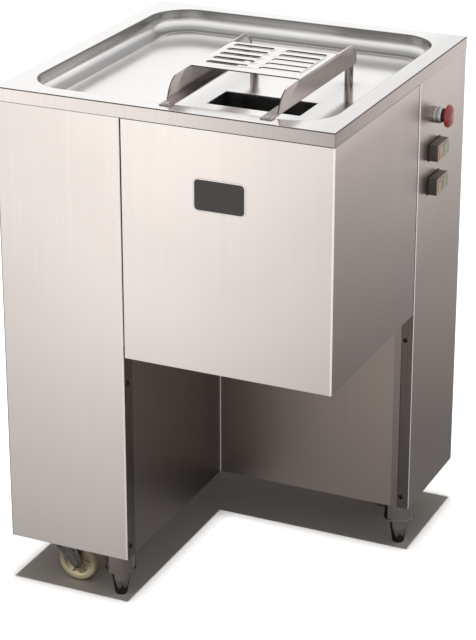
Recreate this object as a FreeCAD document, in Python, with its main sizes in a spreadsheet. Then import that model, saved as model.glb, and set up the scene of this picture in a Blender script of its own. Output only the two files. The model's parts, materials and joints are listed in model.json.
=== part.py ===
"""Floor-standing meat slicer with a drawn feeding tray, a twin-shaft cutter set and a swinging hood door.

Frame: +X to the right of the machine, +Y to its back, +Z up, origin on the floor at the middle of the
machine's box. All sizes are millimetres.
"""
import FreeCAD, Part
import math
import os
import re
import Sketcher
from FreeCAD import Placement, Rotation, Vector

DOC = FreeCAD.newDocument("MeatSlicer")

# Driving dimensions: name, millimetres (or a count), what it measures
SIZES = [
    ("cabinet_width", 600, "cabinet over its side faces"),
    ("cabinet_depth", 610, "cabinet over its front and back faces"),
    ("cabinet_height", 900, "floor to the top of the tray rim"),
    ("panel_inset", 1, "panel face behind the tray skirt"),
    ("panel_sheet", 1.5, "thickness of the cabinet panels"),
    ("panel_joint", 1, "shadow gap under the tray skirt"),
    ("bend_radius", 3, "outer radius of a bent panel edge"),
    ("column_width", 229, "left column, drive side"),
    ("hood_depth", 377, "front face to the rear column"),
    ("hood_lower_edge", 461, "floor to the lower edge of the hood"),
    ("strip_width", 30, "front panel return beside the bay"),
    ("front_return", 15, "front panel return at the left side"),
    ("side_return", 20, "side panel returns"),
    ("return_joint", 1, "gap between neighbouring panels"),
    ("joggle_width", 12, "stepped edge of the bay back panel"),
    ("joggle_step", 0.8, "how far the stepped edge stands proud"),
    ("louvre_count", 6, "air slots in each block of the rear panel"),
    ("louvre_length", 160, "length of an air slot"),
    ("louvre_width", 5, "width of an air slot"),
    ("louvre_pitch", 16, "spacing of the air slots"),
    ("louvre_low", 43, "lower edge of the rear panel to its first air slot"),
    ("louvre_high", 149, "upper edge of the rear panel to its upper block of air slots"),
    ("tray_sheet", 1.5, "thickness of the tray"),
    ("tray_corner", 4, "plan radius of the skirt corners"),
    ("skirt_bend", 2, "rounding from the rim into the skirt"),
    ("skirt_height", 23, "height of the tray skirt"),
    ("rim_width", 35, "flat rim round the well"),
    ("well_depth", 36, "depth of the well"),
    ("well_corner", 70, "plan radius of the well corners"),
    ("well_cove", 24, "radius between well wall and floor"),
    ("rim_roll", 3, "rounding of the rim into the well"),
    ("chute_offset", 388, "left face to the middle of the feed hole"),
    ("chute_setback", 203.5, "front face to the middle of the feed hole"),
    ("chute_length", 166, "feed hole along the blade shafts"),
    ("chute_width", 77, "feed hole across the blade shafts"),
    ("duct_sheet", 2, "thickness of the feed and outlet ducts"),
    ("duct_drop", 54, "feed duct below the tray"),
    ("tube_side", 20, "square frame tube"),
    ("base_sheet", 3, "thickness of the base plate"),
    ("door_seam", 3, "gap between the column and the door"),
    ("door_gap", 1.5, "gap between the door and the fixed parts"),
    ("door_hem", 15, "stiffening hem round the door"),
    ("door_stop_hem", 12, "hem on the closing edge"),
    ("hinge_pin", 2.5, "radius of a hinge pin"),
    ("hinge_setback", 3, "door edge to the hinge axis"),
    ("hinge_inset", 4.5, "door face to the hinge axis"),
    ("hinge_plate", 3, "thickness of hinge lugs and brackets"),
    ("hinge_height", 9, "door edge to the hinge lug"),
    ("lug_radius", 5, "rounded end of a hinge lug"),
    ("lug_length", 18, "hinge lug along the door"),
    ("hinge_play", 0.5, "gap between a lug and its bracket"),
    ("pin_play", 0.05, "radial play of pins and shafts"),
    ("catch_width", 30, "magnet catch, along X"),
    ("catch_depth", 28, "magnet catch, along Y"),
    ("catch_height", 40, "magnet catch, along Z"),
    ("catch_inset", 42, "right panel to the magnet catch"),
    ("catch_gap", 0.4, "magnet to strike plate"),
    ("strike_sheet", 2, "thickness of the strike plate"),
    ("guard_width", 194, "guard over its wings"),
    ("guard_rise", 36, "guard top above the rim"),
    ("guard_sheet", 2, "thickness of the guard"),
    ("guard_front", 46, "front face to the foot of the wings"),
    ("guard_back", 374, "front face to the back of the wings"),
    ("guard_slope", 14, "lean of the front wing edge"),
    ("wing_front_radius", 40, "round front corner of a wing"),
    ("wing_back_radius", 28, "round back corner of a wing"),
    ("grille_front", 135, "front face to the grille"),
    ("grille_front_border", 26.5, "front edge of the grille to its first slot"),
    ("grille_back_border", 11.5, "last slot to the back edge of the grille"),
    ("guard_bend", 4, "outer radius of the guard's folds"),
    ("guard_flange", 20, "foot flange of the guard"),
    ("flange_front", 20, "front face to the tip of a foot flange"),
    ("slot_count", 5, "slots in each grille column"),
    ("slot_pitch", 27, "spacing of the grille slots"),
    ("slot_length", 73, "length of a grille slot"),
    ("slot_width", 9, "width of a grille slot"),
    ("slot_spread", 47, "middle of the grille to the middle of a slot"),
    ("post_radius", 7.5, "guard post"),
    ("post_inset", 9, "back of the guard to its posts"),
    ("stud_radius", 4.5, "head of a guard screw"),
    ("stud_head", 3, "height of a guard screw head"),
    ("stud_setback", 29, "front face to the front guard screws"),
    ("shaft_drop", 124.5, "underside of the tray to the blade shafts"),
    ("gear_module", 4, "module of the timing gears"),
    ("gear_teeth", 21, "teeth of a timing gear"),
    ("gear_width", 25, "face width of a timing gear"),
    ("gear_backlash", 0.5, "play between the teeth"),
    ("blade_gap", 9, "blade edge to the drum of the other shaft"),
    ("blade_sheet", 2, "thickness of a blade"),
    ("blade_count", 12, "blades on the front shaft"),
    ("spacer_radius", 20, "drum between two blades"),
    ("hex_across", 30, "hexagon of a blade shaft, across flats"),
    ("journal_radius", 13, "journal of a blade shaft"),
    ("tang_across", 18, "hexagonal drive end, across flats"),
    ("tang_length", 16, "length of the drive end"),
    ("fit_gap", 0.1, "gap of keyed and hexagonal fits"),
    ("cutter_margin", 8, "cutter set beyond the feed hole at each end"),
    ("end_plate", 8, "thickness of the cutter end plates"),
    ("end_plate_edge", 4, "comb bar to the edge of an end plate"),
    ("end_plate_drop", 65, "end plate below the blade shafts"),
    ("end_play", 0.5, "axial play of turning parts"),
    ("bush_wall", 5, "wall of a blade shaft bush"),
    ("rod_radius", 6, "tie rod between the end plates"),
    ("rod_edge", 19, "tie rod to the edge of an end plate"),
    ("outlet_length", 158, "lower mouth of the outlet, along X"),
    ("outlet_width", 144, "lower mouth of the outlet, along Y"),
    ("finger_sheet", 3, "thickness of a comb finger"),
    ("finger_half", 9, "half the height of a comb finger"),
    ("comb_gap", 1.5, "comb finger to the drum"),
    ("comb_bar_depth", 16, "comb bar, along Y"),
    ("comb_bar_half", 14, "half the height of a comb bar"),
    ("comb_bar_gap", 8, "comb bar to the blade edge"),
    ("drive_radius", 12.5, "drive shaft"),
    ("coupling_radius", 20, "coupling sleeve"),
    ("coupling_length", 32, "coupling sleeve, along X"),
    ("coupling_gap", 4, "coupling sleeve to the end plate"),
    ("housing_length", 60, "bearing housing, along X"),
    ("housing_radius", 34, "bearing housing round a shaft"),
    ("flange_sheet", 8, "mounting plate of the bearing housing"),
    ("flange_half", 60, "half the height of the mounting plate"),
    ("bearing_radius", 26, "outer radius of a bearing"),
    ("bearing_width", 15, "width of a bearing"),
    ("bearing_shoulder", 4, "shoulder behind a bearing"),
    ("seat_gap", 0.02, "play of a seated ring"),
    ("shaft_hole_radius", 30, "shaft holes in the column wall"),
    ("gear_hub_length", 32, "hub of a timing gear, along X"),
    ("pulley_offset", 46, "left face to the belt pulleys"),
    ("pulley_width", 34, "width of a belt pulley"),
    ("pulley_radius", 100, "driven pulley"),
    ("motor_pulley_radius", 45, "motor pulley"),
    ("pulley_hub", 22, "hub of the driven pulley"),
    ("groove_spread", 16, "spacing of the two belt grooves"),
    ("groove_top", 12, "belt groove at the rim"),
    ("groove_floor", 7, "belt groove at its bottom"),
    ("groove_depth", 10, "depth of a belt groove"),
    ("belt_gap", 0.5, "belt to groove"),
    ("belt_height", 8, "height of a belt"),
    ("motor_offset", 110, "left face to the motor"),
    ("motor_level", 200, "floor to the motor axis"),
    ("motor_radius", 72, "motor housing over its fins"),
    ("motor_length", 250, "motor housing"),
    ("motor_shaft_radius", 12, "motor shaft"),
    ("fin_count", 24, "cooling fins"),
    ("fin_depth", 6, "depth of the cooling fins"),
    ("motor_foot_length", 120, "motor foot, along X"),
    ("motor_foot_half", 55, "half the width of the motor foot"),
    ("mount_sheet", 4, "motor mounting plate"),
    ("terminal_length", 90, "terminal box of the motor, along X"),
    ("terminal_width", 64, "terminal box of the motor, along Y"),
    ("terminal_rise", 26, "terminal box above the motor housing"),
    ("terminal_lid", 4, "lid of the terminal box"),
    ("terminal_round", 6, "corners of the terminal box"),
    ("starter_width", 140, "motor starter box, along X"),
    ("starter_depth", 70, "motor starter box, along Y"),
    ("starter_height", 180, "motor starter box, along Z"),
    ("starter_level", 440, "floor to the motor starter box"),
    ("starter_inset", 53, "right panel to the motor starter box"),
    ("starter_wall", 3, "wall of the motor starter box"),
    ("starter_lid", 12, "lid of the motor starter box"),
    ("starter_lap", 2, "how far the starter box's lid laps its sides"),
    ("starter_round", 8, "corners of the motor starter box"),
    ("estop_gap", 41, "frame upright to the emergency stop collar"),
    ("estop_drop", 99, "tray rim to the emergency stop"),
    ("control_gap", 0.2, "panel hole round the emergency stop's neck"),
    ("collar_radius", 14.5, "emergency stop collar"),
    ("collar_length", 13, "emergency stop collar"),
    ("collar_edge", 1, "bevel of the collar"),
    ("neck_radius", 11, "emergency stop neck in the panel"),
    ("neck_length", 14, "emergency stop neck behind the panel"),
    ("stem_radius", 7, "emergency stop stem"),
    ("head_radius", 20, "emergency stop head"),
    ("head_hub", 12, "hub under the emergency stop head"),
    ("head_gap", 4.5, "collar to head"),
    ("head_edge", 5.5, "height of the head's widest ring"),
    ("head_lip", 2, "lower edge of the head inside its widest ring"),
    ("estop_reach", 32, "panel to the top of the emergency stop"),
    ("switch_gap", 27.5, "frame upright to the switch boxes"),
    ("switch_width", 55, "switch box, along Y"),
    ("switch_height", 30, "switch box, along Z"),
    ("switch_reach", 17, "switch box, out of the panel"),
    ("switch_upper_drop", 175, "tray rim to the lower edge of the upper switch box"),
    ("switch_lower_drop", 236, "tray rim to the lower edge of the lower switch box"),
    ("button_wall", 3.5, "switch box wall round a button"),
    ("button_gap", 0.4, "button to switch box"),
    ("button_proud", 1, "button beyond the switch box"),
    ("button_floor", 4, "button to the panel behind it"),
    ("foot_inset", 28, "outer faces of a column to its foot"),
    ("socket_radius", 25.5, "foot socket"),
    ("socket_lip", 27, "lip ring of a foot socket"),
    ("socket_length", 32, "height of a foot socket"),
    ("lip_height", 3, "height of the lip ring"),
    ("foot_radius", 15, "foot insert"),
    ("foot_tip", 10.5, "foot insert at the floor"),
    ("foot_edge", 2, "bevel round the foot's tip"),
    ("foot_taper", 30, "height of the tapered end"),
    ("foot_clearance", 8, "foot insert to the roof of its socket"),
    ("socket_roof", 2, "roof of a foot socket"),
    ("caster_offset", 84, "left face to the left casters"),
    ("caster_setback", 46, "front face to the front caster"),
    ("rear_caster_inset", 80, "back face to the rear casters"),
    ("right_caster_inset", 130, "right face to the right caster"),
    ("wheel_radius", 37.5, "caster wheel"),
    ("wheel_width", 26, "caster wheel"),
    ("wheel_web", 14, "recessed web of a wheel"),
    ("wheel_hub", 12, "hub of a wheel"),
    ("wheel_rim", 26, "inner radius of a wheel rim"),
    ("wheel_round", 6, "rounding of the tread"),
    ("web_slope", 2, "sloping edge of the recessed web"),
    ("axle_radius", 5, "caster axle"),
    ("caster_trail", 28, "swivel axis to the axle"),
    ("fork_gap", 1.5, "wheel to fork"),
    ("fork_sheet", 2.5, "thickness of a fork"),
    ("fork_boss", 11, "fork end round the axle"),
    ("fork_half", 20, "half the length of the fork crown"),
    ("fork_bolt", 3.5, "head of a fork bolt"),
    ("fork_bolt_head", 2, "height of a fork bolt head, and of an axle end beyond the fork"),
    ("fork_bolt_offset", 21, "swivel axis to the fork bolt"),
    ("fork_bolt_rise", 20, "axle to the fork bolt"),
    ("crown_gap", 0.5, "fork crown to caster plate"),
    ("caster_plate_half", 32, "half a caster plate, along X"),
    ("caster_plate_side", 29, "half a caster plate, along Y"),
    ("kingpin_radius", 6, "swivel pin"),
    ("kingpin_head", 9, "head of the swivel pin"),
    ("gland_inset", 224, "right face to the cable gland"),
    ("gland_setback", 50, "back face to the cable gland"),
    ("gland_bore", 5, "radius of the cable passage"),
    ("gland_radius", 10, "cable gland in the base plate"),
    ("gland_hex", 26, "cable gland, across flats"),
    ("gland_length", 22, "cable gland below the base plate"),
    ("gland_collar", 8, "hexagonal part of the gland"),
    ("screw_radius", 4.5, "head of a panel screw"),
    ("screw_head", 2, "height of a panel screw head"),
    ("strip_screw", 14, "front face to the screws beside the bay"),
    ("flange_screw", 15, "right face to the screws behind the bay"),
    ("low_screw", 22, "lower edge of a panel to its lower screw"),
    ("high_screw", 52, "lower edge of the hood to the upper panel screws"),
    ("overcut", 1, "how far a cutting tool runs past a face"),
]

# Places and sizes that follow from the driving dimensions
PLACES = [
    ("under_gap", "2 * wheel_radius + fork_gap + 2 * fork_sheet + crown_gap"),
    ("left", "-(cabinet_width + estop_reach) / 2"),
    ("right", "left + cabinet_width"),
    ("front", "-cabinet_depth / 2"),
    ("back", "cabinet_depth / 2"),
    ("skin", "panel_inset + panel_sheet"),
    ("panel_left", "left + panel_inset"),
    ("panel_front", "front + panel_inset"),
    ("panel_right", "right - panel_inset"),
    ("panel_back", "back - panel_inset"),
    ("frame_left", "left + skin"),
    ("frame_front", "front + skin"),
    ("frame_right", "right - skin"),
    ("frame_back", "back - skin"),
    ("column_face", "left + column_width - panel_inset"),
    ("column_frame", "column_face - panel_sheet"),
    ("bay_face", "front + hood_depth + panel_inset"),
    ("bay_frame", "bay_face + panel_sheet"),
    ("rim_under", "cabinet_height - tray_sheet"),
    ("skirt_edge", "cabinet_height - skirt_height"),
    ("panel_top", "skirt_edge - panel_joint"),
    ("panel_tall", "panel_top - under_gap"),
    ("well_floor", "cabinet_height - well_depth"),
    ("well_under", "well_floor - tray_sheet"),
    ("inner_tall", "well_under - under_gap"),
    ("base_top", "under_gap + base_sheet"),
    ("ring_low", "rim_under - tube_side"),
    ("cross_low", "well_under - tube_side"),
    ("feed_x", "left + chute_offset"),
    ("feed_y", "front + chute_setback"),
    ("shaft_level", "well_under - shaft_drop"),
    ("shaft_distance", "gear_module * gear_teeth"),
    ("blade_radius", "shaft_distance - spacer_radius - blade_gap"),
    ("comb_bar_reach", "blade_radius + comb_bar_gap"),
    ("end_plate_half", "shaft_distance / 2 + comb_bar_reach + comb_bar_depth + end_plate_edge"),
    ("front_shaft_y", "feed_y - shaft_distance / 2"),
    ("rear_shaft_y", "feed_y + shaft_distance / 2"),
    ("cutter_half", "chute_length / 2 + cutter_margin"),
    ("cutter_left", "feed_x - cutter_half"),
    ("cutter_right", "feed_x + cutter_half"),
    ("blade_pitch", "chute_length / blade_count"),
    ("feed_left", "feed_x - chute_length / 2"),
    ("duct_end", "well_under - duct_drop"),
    ("plate_low", "shaft_level - end_plate_drop"),
    ("plate_tall", "well_under - plate_low"),
    ("coupling_end", "cutter_left - end_plate - coupling_gap"),
    ("coupling_start", "coupling_end - coupling_length"),
    ("housing_end", "column_frame - tube_side - flange_sheet"),
    ("housing_start", "housing_end - housing_length"),
    ("gear_left", "housing_start - end_play - gear_hub_length"),
    ("pulley_left", "left + pulley_offset"),
    ("pulley_middle", "pulley_left + pulley_width / 2"),
    ("motor_left", "left + motor_offset"),
    ("motor_y", "(bay_frame + frame_back) / 2"),
    ("mount_level", "base_top + tube_side"),
    ("starter_left", "panel_right - starter_inset - starter_width"),
    ("hinge_x", "left + column_width - panel_inset + door_seam + hinge_setback"),
    ("hinge_y", "panel_front + hinge_inset"),
    ("door_left", "left + column_width - panel_inset + door_seam"),
    ("door_wide", "panel_right - door_left"),
    ("door_deep", "bay_face - door_gap - panel_front - panel_inset"),
    ("door_top", "skirt_edge - door_gap"),
    ("door_tall", "door_top - hood_lower_edge"),
    ("catch_level", "(hood_lower_edge + door_top) / 2"),
    ("catch_left", "panel_right - catch_inset - catch_width"),
    ("low_lug", "hood_lower_edge + hinge_height"),
    ("high_lug", "door_top - hinge_height - hinge_plate"),
    ("guard_left", "feed_x - guard_width / 2"),
    ("slot_start", "grille_front + grille_front_border + slot_width / 2"),
    ("slot_end", "slot_start + slot_pitch * (slot_count - 1)"),
    ("grille_back", "slot_end + slot_width / 2 + grille_back_border"),
    ("post_y", "front + guard_back - post_inset"),
    ("estop_y", "bay_frame + tube_side + estop_gap + collar_radius"),
    ("estop_level", "cabinet_height - estop_drop"),
    ("collar_end", "right + collar_length"),
    ("head_start", "collar_end + head_gap"),
    ("head_tall", "right + estop_reach - head_start"),
    ("switch_y", "bay_frame + tube_side + switch_gap"),
    ("switch_upper_level", "cabinet_height - switch_upper_drop"),
    ("switch_lower_level", "cabinet_height - switch_lower_drop"),
    ("button_side", "switch_height - 2 * button_wall - 2 * button_gap"),
    ("button_wide", "(switch_width - 3 * button_wall) / 2 - 2 * button_gap"),
    ("front_foot_x", "left + column_width - foot_inset"),
    ("front_foot_y", "front + foot_inset"),
    ("right_foot_x", "right - foot_inset"),
    ("right_foot_y", "front + hood_depth + foot_inset"),
    ("socket_low", "under_gap - socket_length"),
    ("foot_top", "under_gap - socket_roof - foot_clearance"),
    ("left_caster_x", "left + caster_offset"),
    ("right_caster_x", "right - right_caster_inset"),
    ("front_caster_y", "front + caster_setback"),
    ("rear_caster_y", "back - rear_caster_inset"),
    ("gland_x", "right - gland_inset"),
    ("gland_y", "back - gland_setback"),
    ("fork_top", "under_gap - fork_sheet - crown_gap"),
    ("fork_crown", "fork_top - fork_sheet"),
    ("fork_inside", "wheel_width + 2 * fork_gap"),
]

SHEET = DOC.addObject("Spreadsheet::Sheet", "Sizes")
SHEET.Label = "Sizes"
for row, (alias, number, meaning) in enumerate(SIZES, start=1):
    SHEET.set("A%d" % row, meaning)
    SHEET.set("B%d" % row, str(number))
    SHEET.setAlias("B%d" % row, alias)
DOC.recompute()

OWNERS = {alias: "Sizes." for alias, number, meaning in SIZES}
OWNERS.update({name: "Places." for name, text in PLACES})


def formula(text):
    """Turns a formula in plain names into an expression on the two value holders."""
    return re.sub(r"[a-z][a-z_0-9]*", lambda word: OWNERS.get(word.group(0), "") + word.group(0), str(text))


PLACE_SET = DOC.addObject("App::VarSet", "Places")
for name, text in PLACES:
    PLACE_SET.addProperty("App::PropertyFloat", name, "Places")
    PLACE_SET.setExpression(name, formula(text))
DOC.recompute()


READER = DOC.addObject("App::VarSet", "Reader")
READER.addProperty("App::PropertyFloat", "answer", "Reader")


class Values:
    """Reads any size or place by its name."""

    def __getattr__(self, name):
        holder = SHEET if OWNERS[name] == "Sizes." else PLACE_SET
        return float(getattr(holder, name))


V = Values()
SUB_PARTS = []
ALONG_X = Rotation(Vector(0, 1, 0), 90)


def bind(item, prop, text):
    """Binds one property to a formula."""
    item.setExpression(prop, formula(text))


def locate(item, place):
    """Binds the position of an object to three formulas."""
    for axis, text in zip("xyz", place):
        bind(item, "Placement.Base." + axis, text)


def keep(item, label):
    """Marks an object as a finished sub-part under its own label."""
    item.Label = label
    SUB_PARTS.append(item)
    return item


def keep_shape(label, shape):
    """A sub-part whose shape is worked out in code from the sheet's sizes."""
    item = DOC.addObject("Part::Feature", label)
    item.Shape = shape
    item.Placement = Placement()
    return keep(item, label)


# Part primitives with bound sizes

def box(name, corner, sides):
    """A block from its lowest corner and its three sides."""
    item = DOC.addObject("Part::Box", name)
    for prop, text in zip(("Length", "Width", "Height"), sides):
        bind(item, prop, text)
    locate(item, corner)
    return item


def cylinder(name, base, radius, length, along_x=False):
    """A round bar that stands on its base, or lies along X from it."""
    item = DOC.addObject("Part::Cylinder", name)
    if along_x:
        item.Placement = Placement(Vector(), ALONG_X)
    bind(item, "Radius", radius)
    bind(item, "Height", length)
    locate(item, base)
    return item


def hexagon(name, base, across, length, along_x=False):
    """A hexagonal bar across its flats."""
    item = DOC.addObject("Part::Prism", name)
    if along_x:
        item.Placement = Placement(Vector(), ALONG_X)
    item.Polygon = 6
    bind(item, "Circumradius", "(%s) / sqrt(3)" % across)
    bind(item, "Height", length)
    locate(item, base)
    return item


def fuse(name, items):
    """Welds objects into one."""
    item = DOC.addObject("Part::MultiFuse", name)
    item.Shapes = items
    item.Refine = True
    return item


def cut(name, base, tools):
    """Takes tools away from a base."""
    tool = tools[0] if len(tools) == 1 else fuse(name + "_tools", tools)
    item = DOC.addObject("Part::Cut", name)
    item.Base = base
    item.Tool = tool
    item.Refine = True
    return item


def group(name, items):
    """Several separate solids under one label."""
    item = DOC.addObject("Part::Compound", name)
    item.Links = items
    return item


def rounded(name, base, radius, wanted):
    """Rounds the edges of an object that a test picks out."""
    DOC.recompute()
    numbers = [number for number, edge in enumerate(base.Shape.Edges, start=1) if wanted(edge)]
    item = DOC.addObject("Part::Fillet", name)
    item.Base = base
    item.Edges = [(number, radius, radius) for number in numbers]
    DOC.recompute()
    return item


# PartDesign bodies with bound sketches

def body(label, place=("0", "0", "0")):
    """A body whose local origin lies at the given place."""
    item = DOC.addObject("PartDesign::Body", label)
    locate(item, place)
    return keep(item, label)


def sketch(owner, name, role, offset="0"):
    """An empty sketch on one of the body's own origin planes."""
    item = owner.newObject("Sketcher::SketchObject", name)
    plane = [part for part in owner.Origin.OriginFeatures if part.Role == role][0]
    item.AttachmentSupport = [(plane, "")]
    item.MapMode = "FlatFace"
    bind(item, "AttachmentOffset.Base.z", offset)
    return item


def number_of(text):
    """Value of a formula, used as a sketch's starting size."""
    READER.setExpression("answer", formula(text))
    READER.recompute()
    return READER.answer


def outline(item, points):
    """A closed outline of straight edges with every corner placed by two formulas."""
    spots = [Vector(number_of(x), number_of(y), 0) for x, y in points]
    first = item.GeometryCount
    count = len(spots)
    for index in range(count):
        item.addGeometry(Part.LineSegment(spots[index], spots[(index + 1) % count]))
    for index in range(count):
        item.addConstraint(
            Sketcher.Constraint("Coincident", first + index, 2, first + (index + 1) % count, 1))
    for index in range(count):
        for kind, text, start in zip(("DistanceX", "DistanceY"), points[index], spots[index]):
            place = item.addConstraint(Sketcher.Constraint(kind, -1, 1, first + index, 1, start))
            bind(item, "Constraints[%d]" % place, text)
    return item


def rectangle(item, low_x, low_y, high_x, high_y):
    """A rectangle between two corners."""
    return outline(item, [(low_x, low_y), (high_x, low_y), (high_x, high_y), (low_x, high_y)])


def long_slot(item, x, y, length, width):
    """A slot with round ends along the sketch's first axis, from its middle."""
    half = "((%s - %s) / 2)" % (length, width)
    reach, radius = number_of(half), number_of(width + " / 2")
    spot = Vector(number_of(x), number_of(y), 0)
    ends = [spot + Vector(side * reach, 0, 0) for side in (1, -1)]
    first = item.GeometryCount
    for end, start in zip(ends, (-math.pi / 2, math.pi / 2)):
        circle = Part.Circle(end, Vector(0, 0, 1), radius)
        item.addGeometry(Part.ArcOfCircle(circle, start, start + math.pi))
    for height, low, high in ((radius, 0, 1), (-radius, 1, 0)):
        side = 1 if height > 0 else -1
        rise = Vector(0, height, 0)
        item.addGeometry(Part.LineSegment(ends[low] + rise, ends[high] + rise))
    joints = [(first, 2, first + 2, 1), (first + 2, 2, first + 1, 1),
              (first + 1, 2, first + 3, 1), (first + 3, 2, first, 1)]
    for joint in joints:
        item.addConstraint(Sketcher.Constraint("Tangent", *joint))
    item.addConstraint(Sketcher.Constraint("Horizontal", first + 2))
    place = item.addConstraint(Sketcher.Constraint("Radius", first, radius))
    bind(item, "Constraints[%d]" % place, width + " / 2")
    for index, side in ((first, "+"), (first + 1, "-")):
        place = item.addConstraint(Sketcher.Constraint("DistanceX", -1, 1, index, 3, ends[index - first].x))
        bind(item, "Constraints[%d]" % place, "%s %s %s" % (x, side, half))
    place = item.addConstraint(Sketcher.Constraint("DistanceY", -1, 1, first, 3, spot.y))
    bind(item, "Constraints[%d]" % place, y)
    return item


def ring(item, x, y, radius):
    """A circle from its centre and radius."""
    spot = Vector(number_of(x), number_of(y), 0)
    index = item.addGeometry(Part.Circle(spot, Vector(0, 0, 1), number_of(radius)))
    place = item.addConstraint(Sketcher.Constraint("Radius", index, number_of(radius)))
    bind(item, "Constraints[%d]" % place, radius)
    for kind, text, start in zip(("DistanceX", "DistanceY"), (x, y), spot):
        place = item.addConstraint(Sketcher.Constraint(kind, -1, 1, index, 3, start))
        bind(item, "Constraints[%d]" % place, text)
    return item


def pad(owner, profile, length, reverse=False):
    """Adds a profile's extrusion to the body."""
    item = owner.newObject("PartDesign::Pad", "Pad")
    item.Profile = profile
    item.Reversed = reverse
    bind(item, "Length", length)
    return item


def pocket(owner, profile, length, reverse=False):
    """Takes a profile's extrusion away from the body."""
    DOC.recompute()
    before = owner.Shape.Volume
    item = owner.newObject("PartDesign::Pocket", "Pocket")
    item.Profile = profile
    item.Reversed = reverse
    bind(item, "Length", length)
    DOC.recompute()
    if owner.Shape.Volume > before - 1e-6:
        raise ValueError("a pocket of %s cuts nothing" % owner.Label)
    return item


def revolve(owner, profile, axis):
    """Turns a profile round one of its sketch's axes."""
    item = owner.newObject("PartDesign::Revolution", "Revolution")
    item.Profile = profile
    item.ReferenceAxis = (profile, [axis])
    item.Angle = 360
    return item


def row_of(owner, feature, profile, axis, pitch, count):
    """Repeats a feature in a straight row."""
    item = owner.newObject("PartDesign::LinearPattern", "Row")
    item.Originals = [feature]
    item.Direction = (profile, [axis])
    item.Occurrences = int(getattr(V, count))
    bind(item, "Length", "%s * (%s - 1)" % (pitch, count))
    owner.Tip = item
    return item


def round_edges(owner, radius, wanted):
    """Rounds the edges of the body that a test picks out."""
    DOC.recompute()
    base = owner.Tip
    names = ["Edge%d" % number for number, edge in enumerate(base.Shape.Edges, start=1) if wanted(edge)]
    item = owner.newObject("PartDesign::Fillet", "Fillet")
    item.Base = (base, names)
    bind(item, "Radius", radius)
    DOC.recompute()
    return item


def stands_at(*spots):
    """A test for upright edges over the given plan positions."""
    def wanted(edge):
        bounds = edge.BoundBox
        if bounds.ZLength < 1 or bounds.XLength > 0.01 or bounds.YLength > 0.01:
            return False
        return any(math.hypot(bounds.XMin - x, bounds.YMin - y) < 0.01 for x, y in spots)
    return wanted


# Tray

def well_block(name, wall, top):
    """A block with the well's round corners and coved lower edge, grown by a wall on all sides."""
    side = "(rim_width - %s)" % wall
    block = box(name, ("left + " + side, "front + " + side, "well_floor - " + wall),
                ("cabinet_width - 2 * " + side, "cabinet_depth - 2 * " + side,
                 "%s - well_floor + %s" % (top, wall)))
    grown = number_of(wall)
    posts = rounded(name + "_corners", block, V.well_corner + grown, is_upright)
    return rounded(name + "_cove", posts, V.well_cove + grown,
                   lambda edge: lies_at(edge, V.well_floor - grown))


def make_tray():
    """Drawn tray: folded skirt, flat rim, coved well and the feed hole."""
    blank = box("rim_block", ("left", "front", "skirt_edge"),
                ("cabinet_width", "cabinet_depth", "skirt_height"))
    corners = rounded("rim_corners", blank, V.tray_corner, is_upright)
    folded = rounded("rim_fold", corners, V.skirt_bend, lambda edge: lies_at(edge, V.cabinet_height))
    inside = box("skirt_inside", ("left + tray_sheet", "front + tray_sheet", "skirt_edge - overcut"),
                 ("cabinet_width - 2 * tray_sheet", "cabinet_depth - 2 * tray_sheet",
                  "skirt_height - tray_sheet + overcut"))
    hollow = rounded("skirt_hollow", inside, V.tray_corner - V.tray_sheet, is_upright)
    well = well_block("well_outside", "tray_sheet", "rim_under")
    shell = fuse("rim_and_well", [cut("rim", folded, [hollow]), well])
    hole = box("feed_hole", ("feed_x - chute_length / 2", "feed_y - chute_width / 2", "well_under - overcut"),
               ("chute_length", "chute_width", "tray_sheet + 2 * overcut"))
    open_well = cut("open_well", shell, [well_block("well_inside", "0", "cabinet_height + overcut"), hole])
    tray = rounded("tray_top", open_well, V.rim_roll,
                   lambda edge: lies_at(edge, V.cabinet_height) and clear_of_skirt(edge))
    keep(tray, "tray_top")


def is_upright(edge):
    """Tells whether an edge of a block stands upright."""
    return edge.BoundBox.ZLength > V.overcut


def lies_at(edge, level):
    """Tells whether an edge lies flat at a level."""
    return abs(edge.BoundBox.ZMin - level) < 0.01 and abs(edge.BoundBox.ZMax - level) < 0.01


def clear_of_skirt(edge):
    """Tells whether an edge of the rim belongs to the well and not to the skirt."""
    bounds = edge.BoundBox
    reach = V.rim_width / 2
    return (bounds.XMin > V.left + reach and bounds.XMax < V.right - reach
            and bounds.YMin > V.front + reach and bounds.YMax < V.back - reach)


# Cabinet panels

def make_front_panel():
    """Front panel of the left column, bent round both its edges."""
    panel = body("left_front_panel", ("panel_left", "panel_front", "under_gap"))
    wide = "(column_width - 2 * panel_inset)"
    profile = sketch(panel, "bent_profile", "XY_Plane")
    outline(profile, [
        ("0", "0"), (wide, "0"), (wide, "strip_width"), (wide + " - panel_sheet", "strip_width"),
        (wide + " - panel_sheet", "panel_sheet"), ("panel_sheet", "panel_sheet"),
        ("panel_sheet", "front_return"), ("0", "front_return")])
    pad(panel, profile, "panel_tall")
    edge = V.column_width - 2 * V.panel_inset
    round_edges(panel, "bend_radius", stands_at((0, 0), (edge, 0)))
    inner = edge - V.panel_sheet
    round_edges(panel, "bend_radius - panel_sheet",
                stands_at((V.panel_sheet, V.panel_sheet), (inner, V.panel_sheet)))


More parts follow.
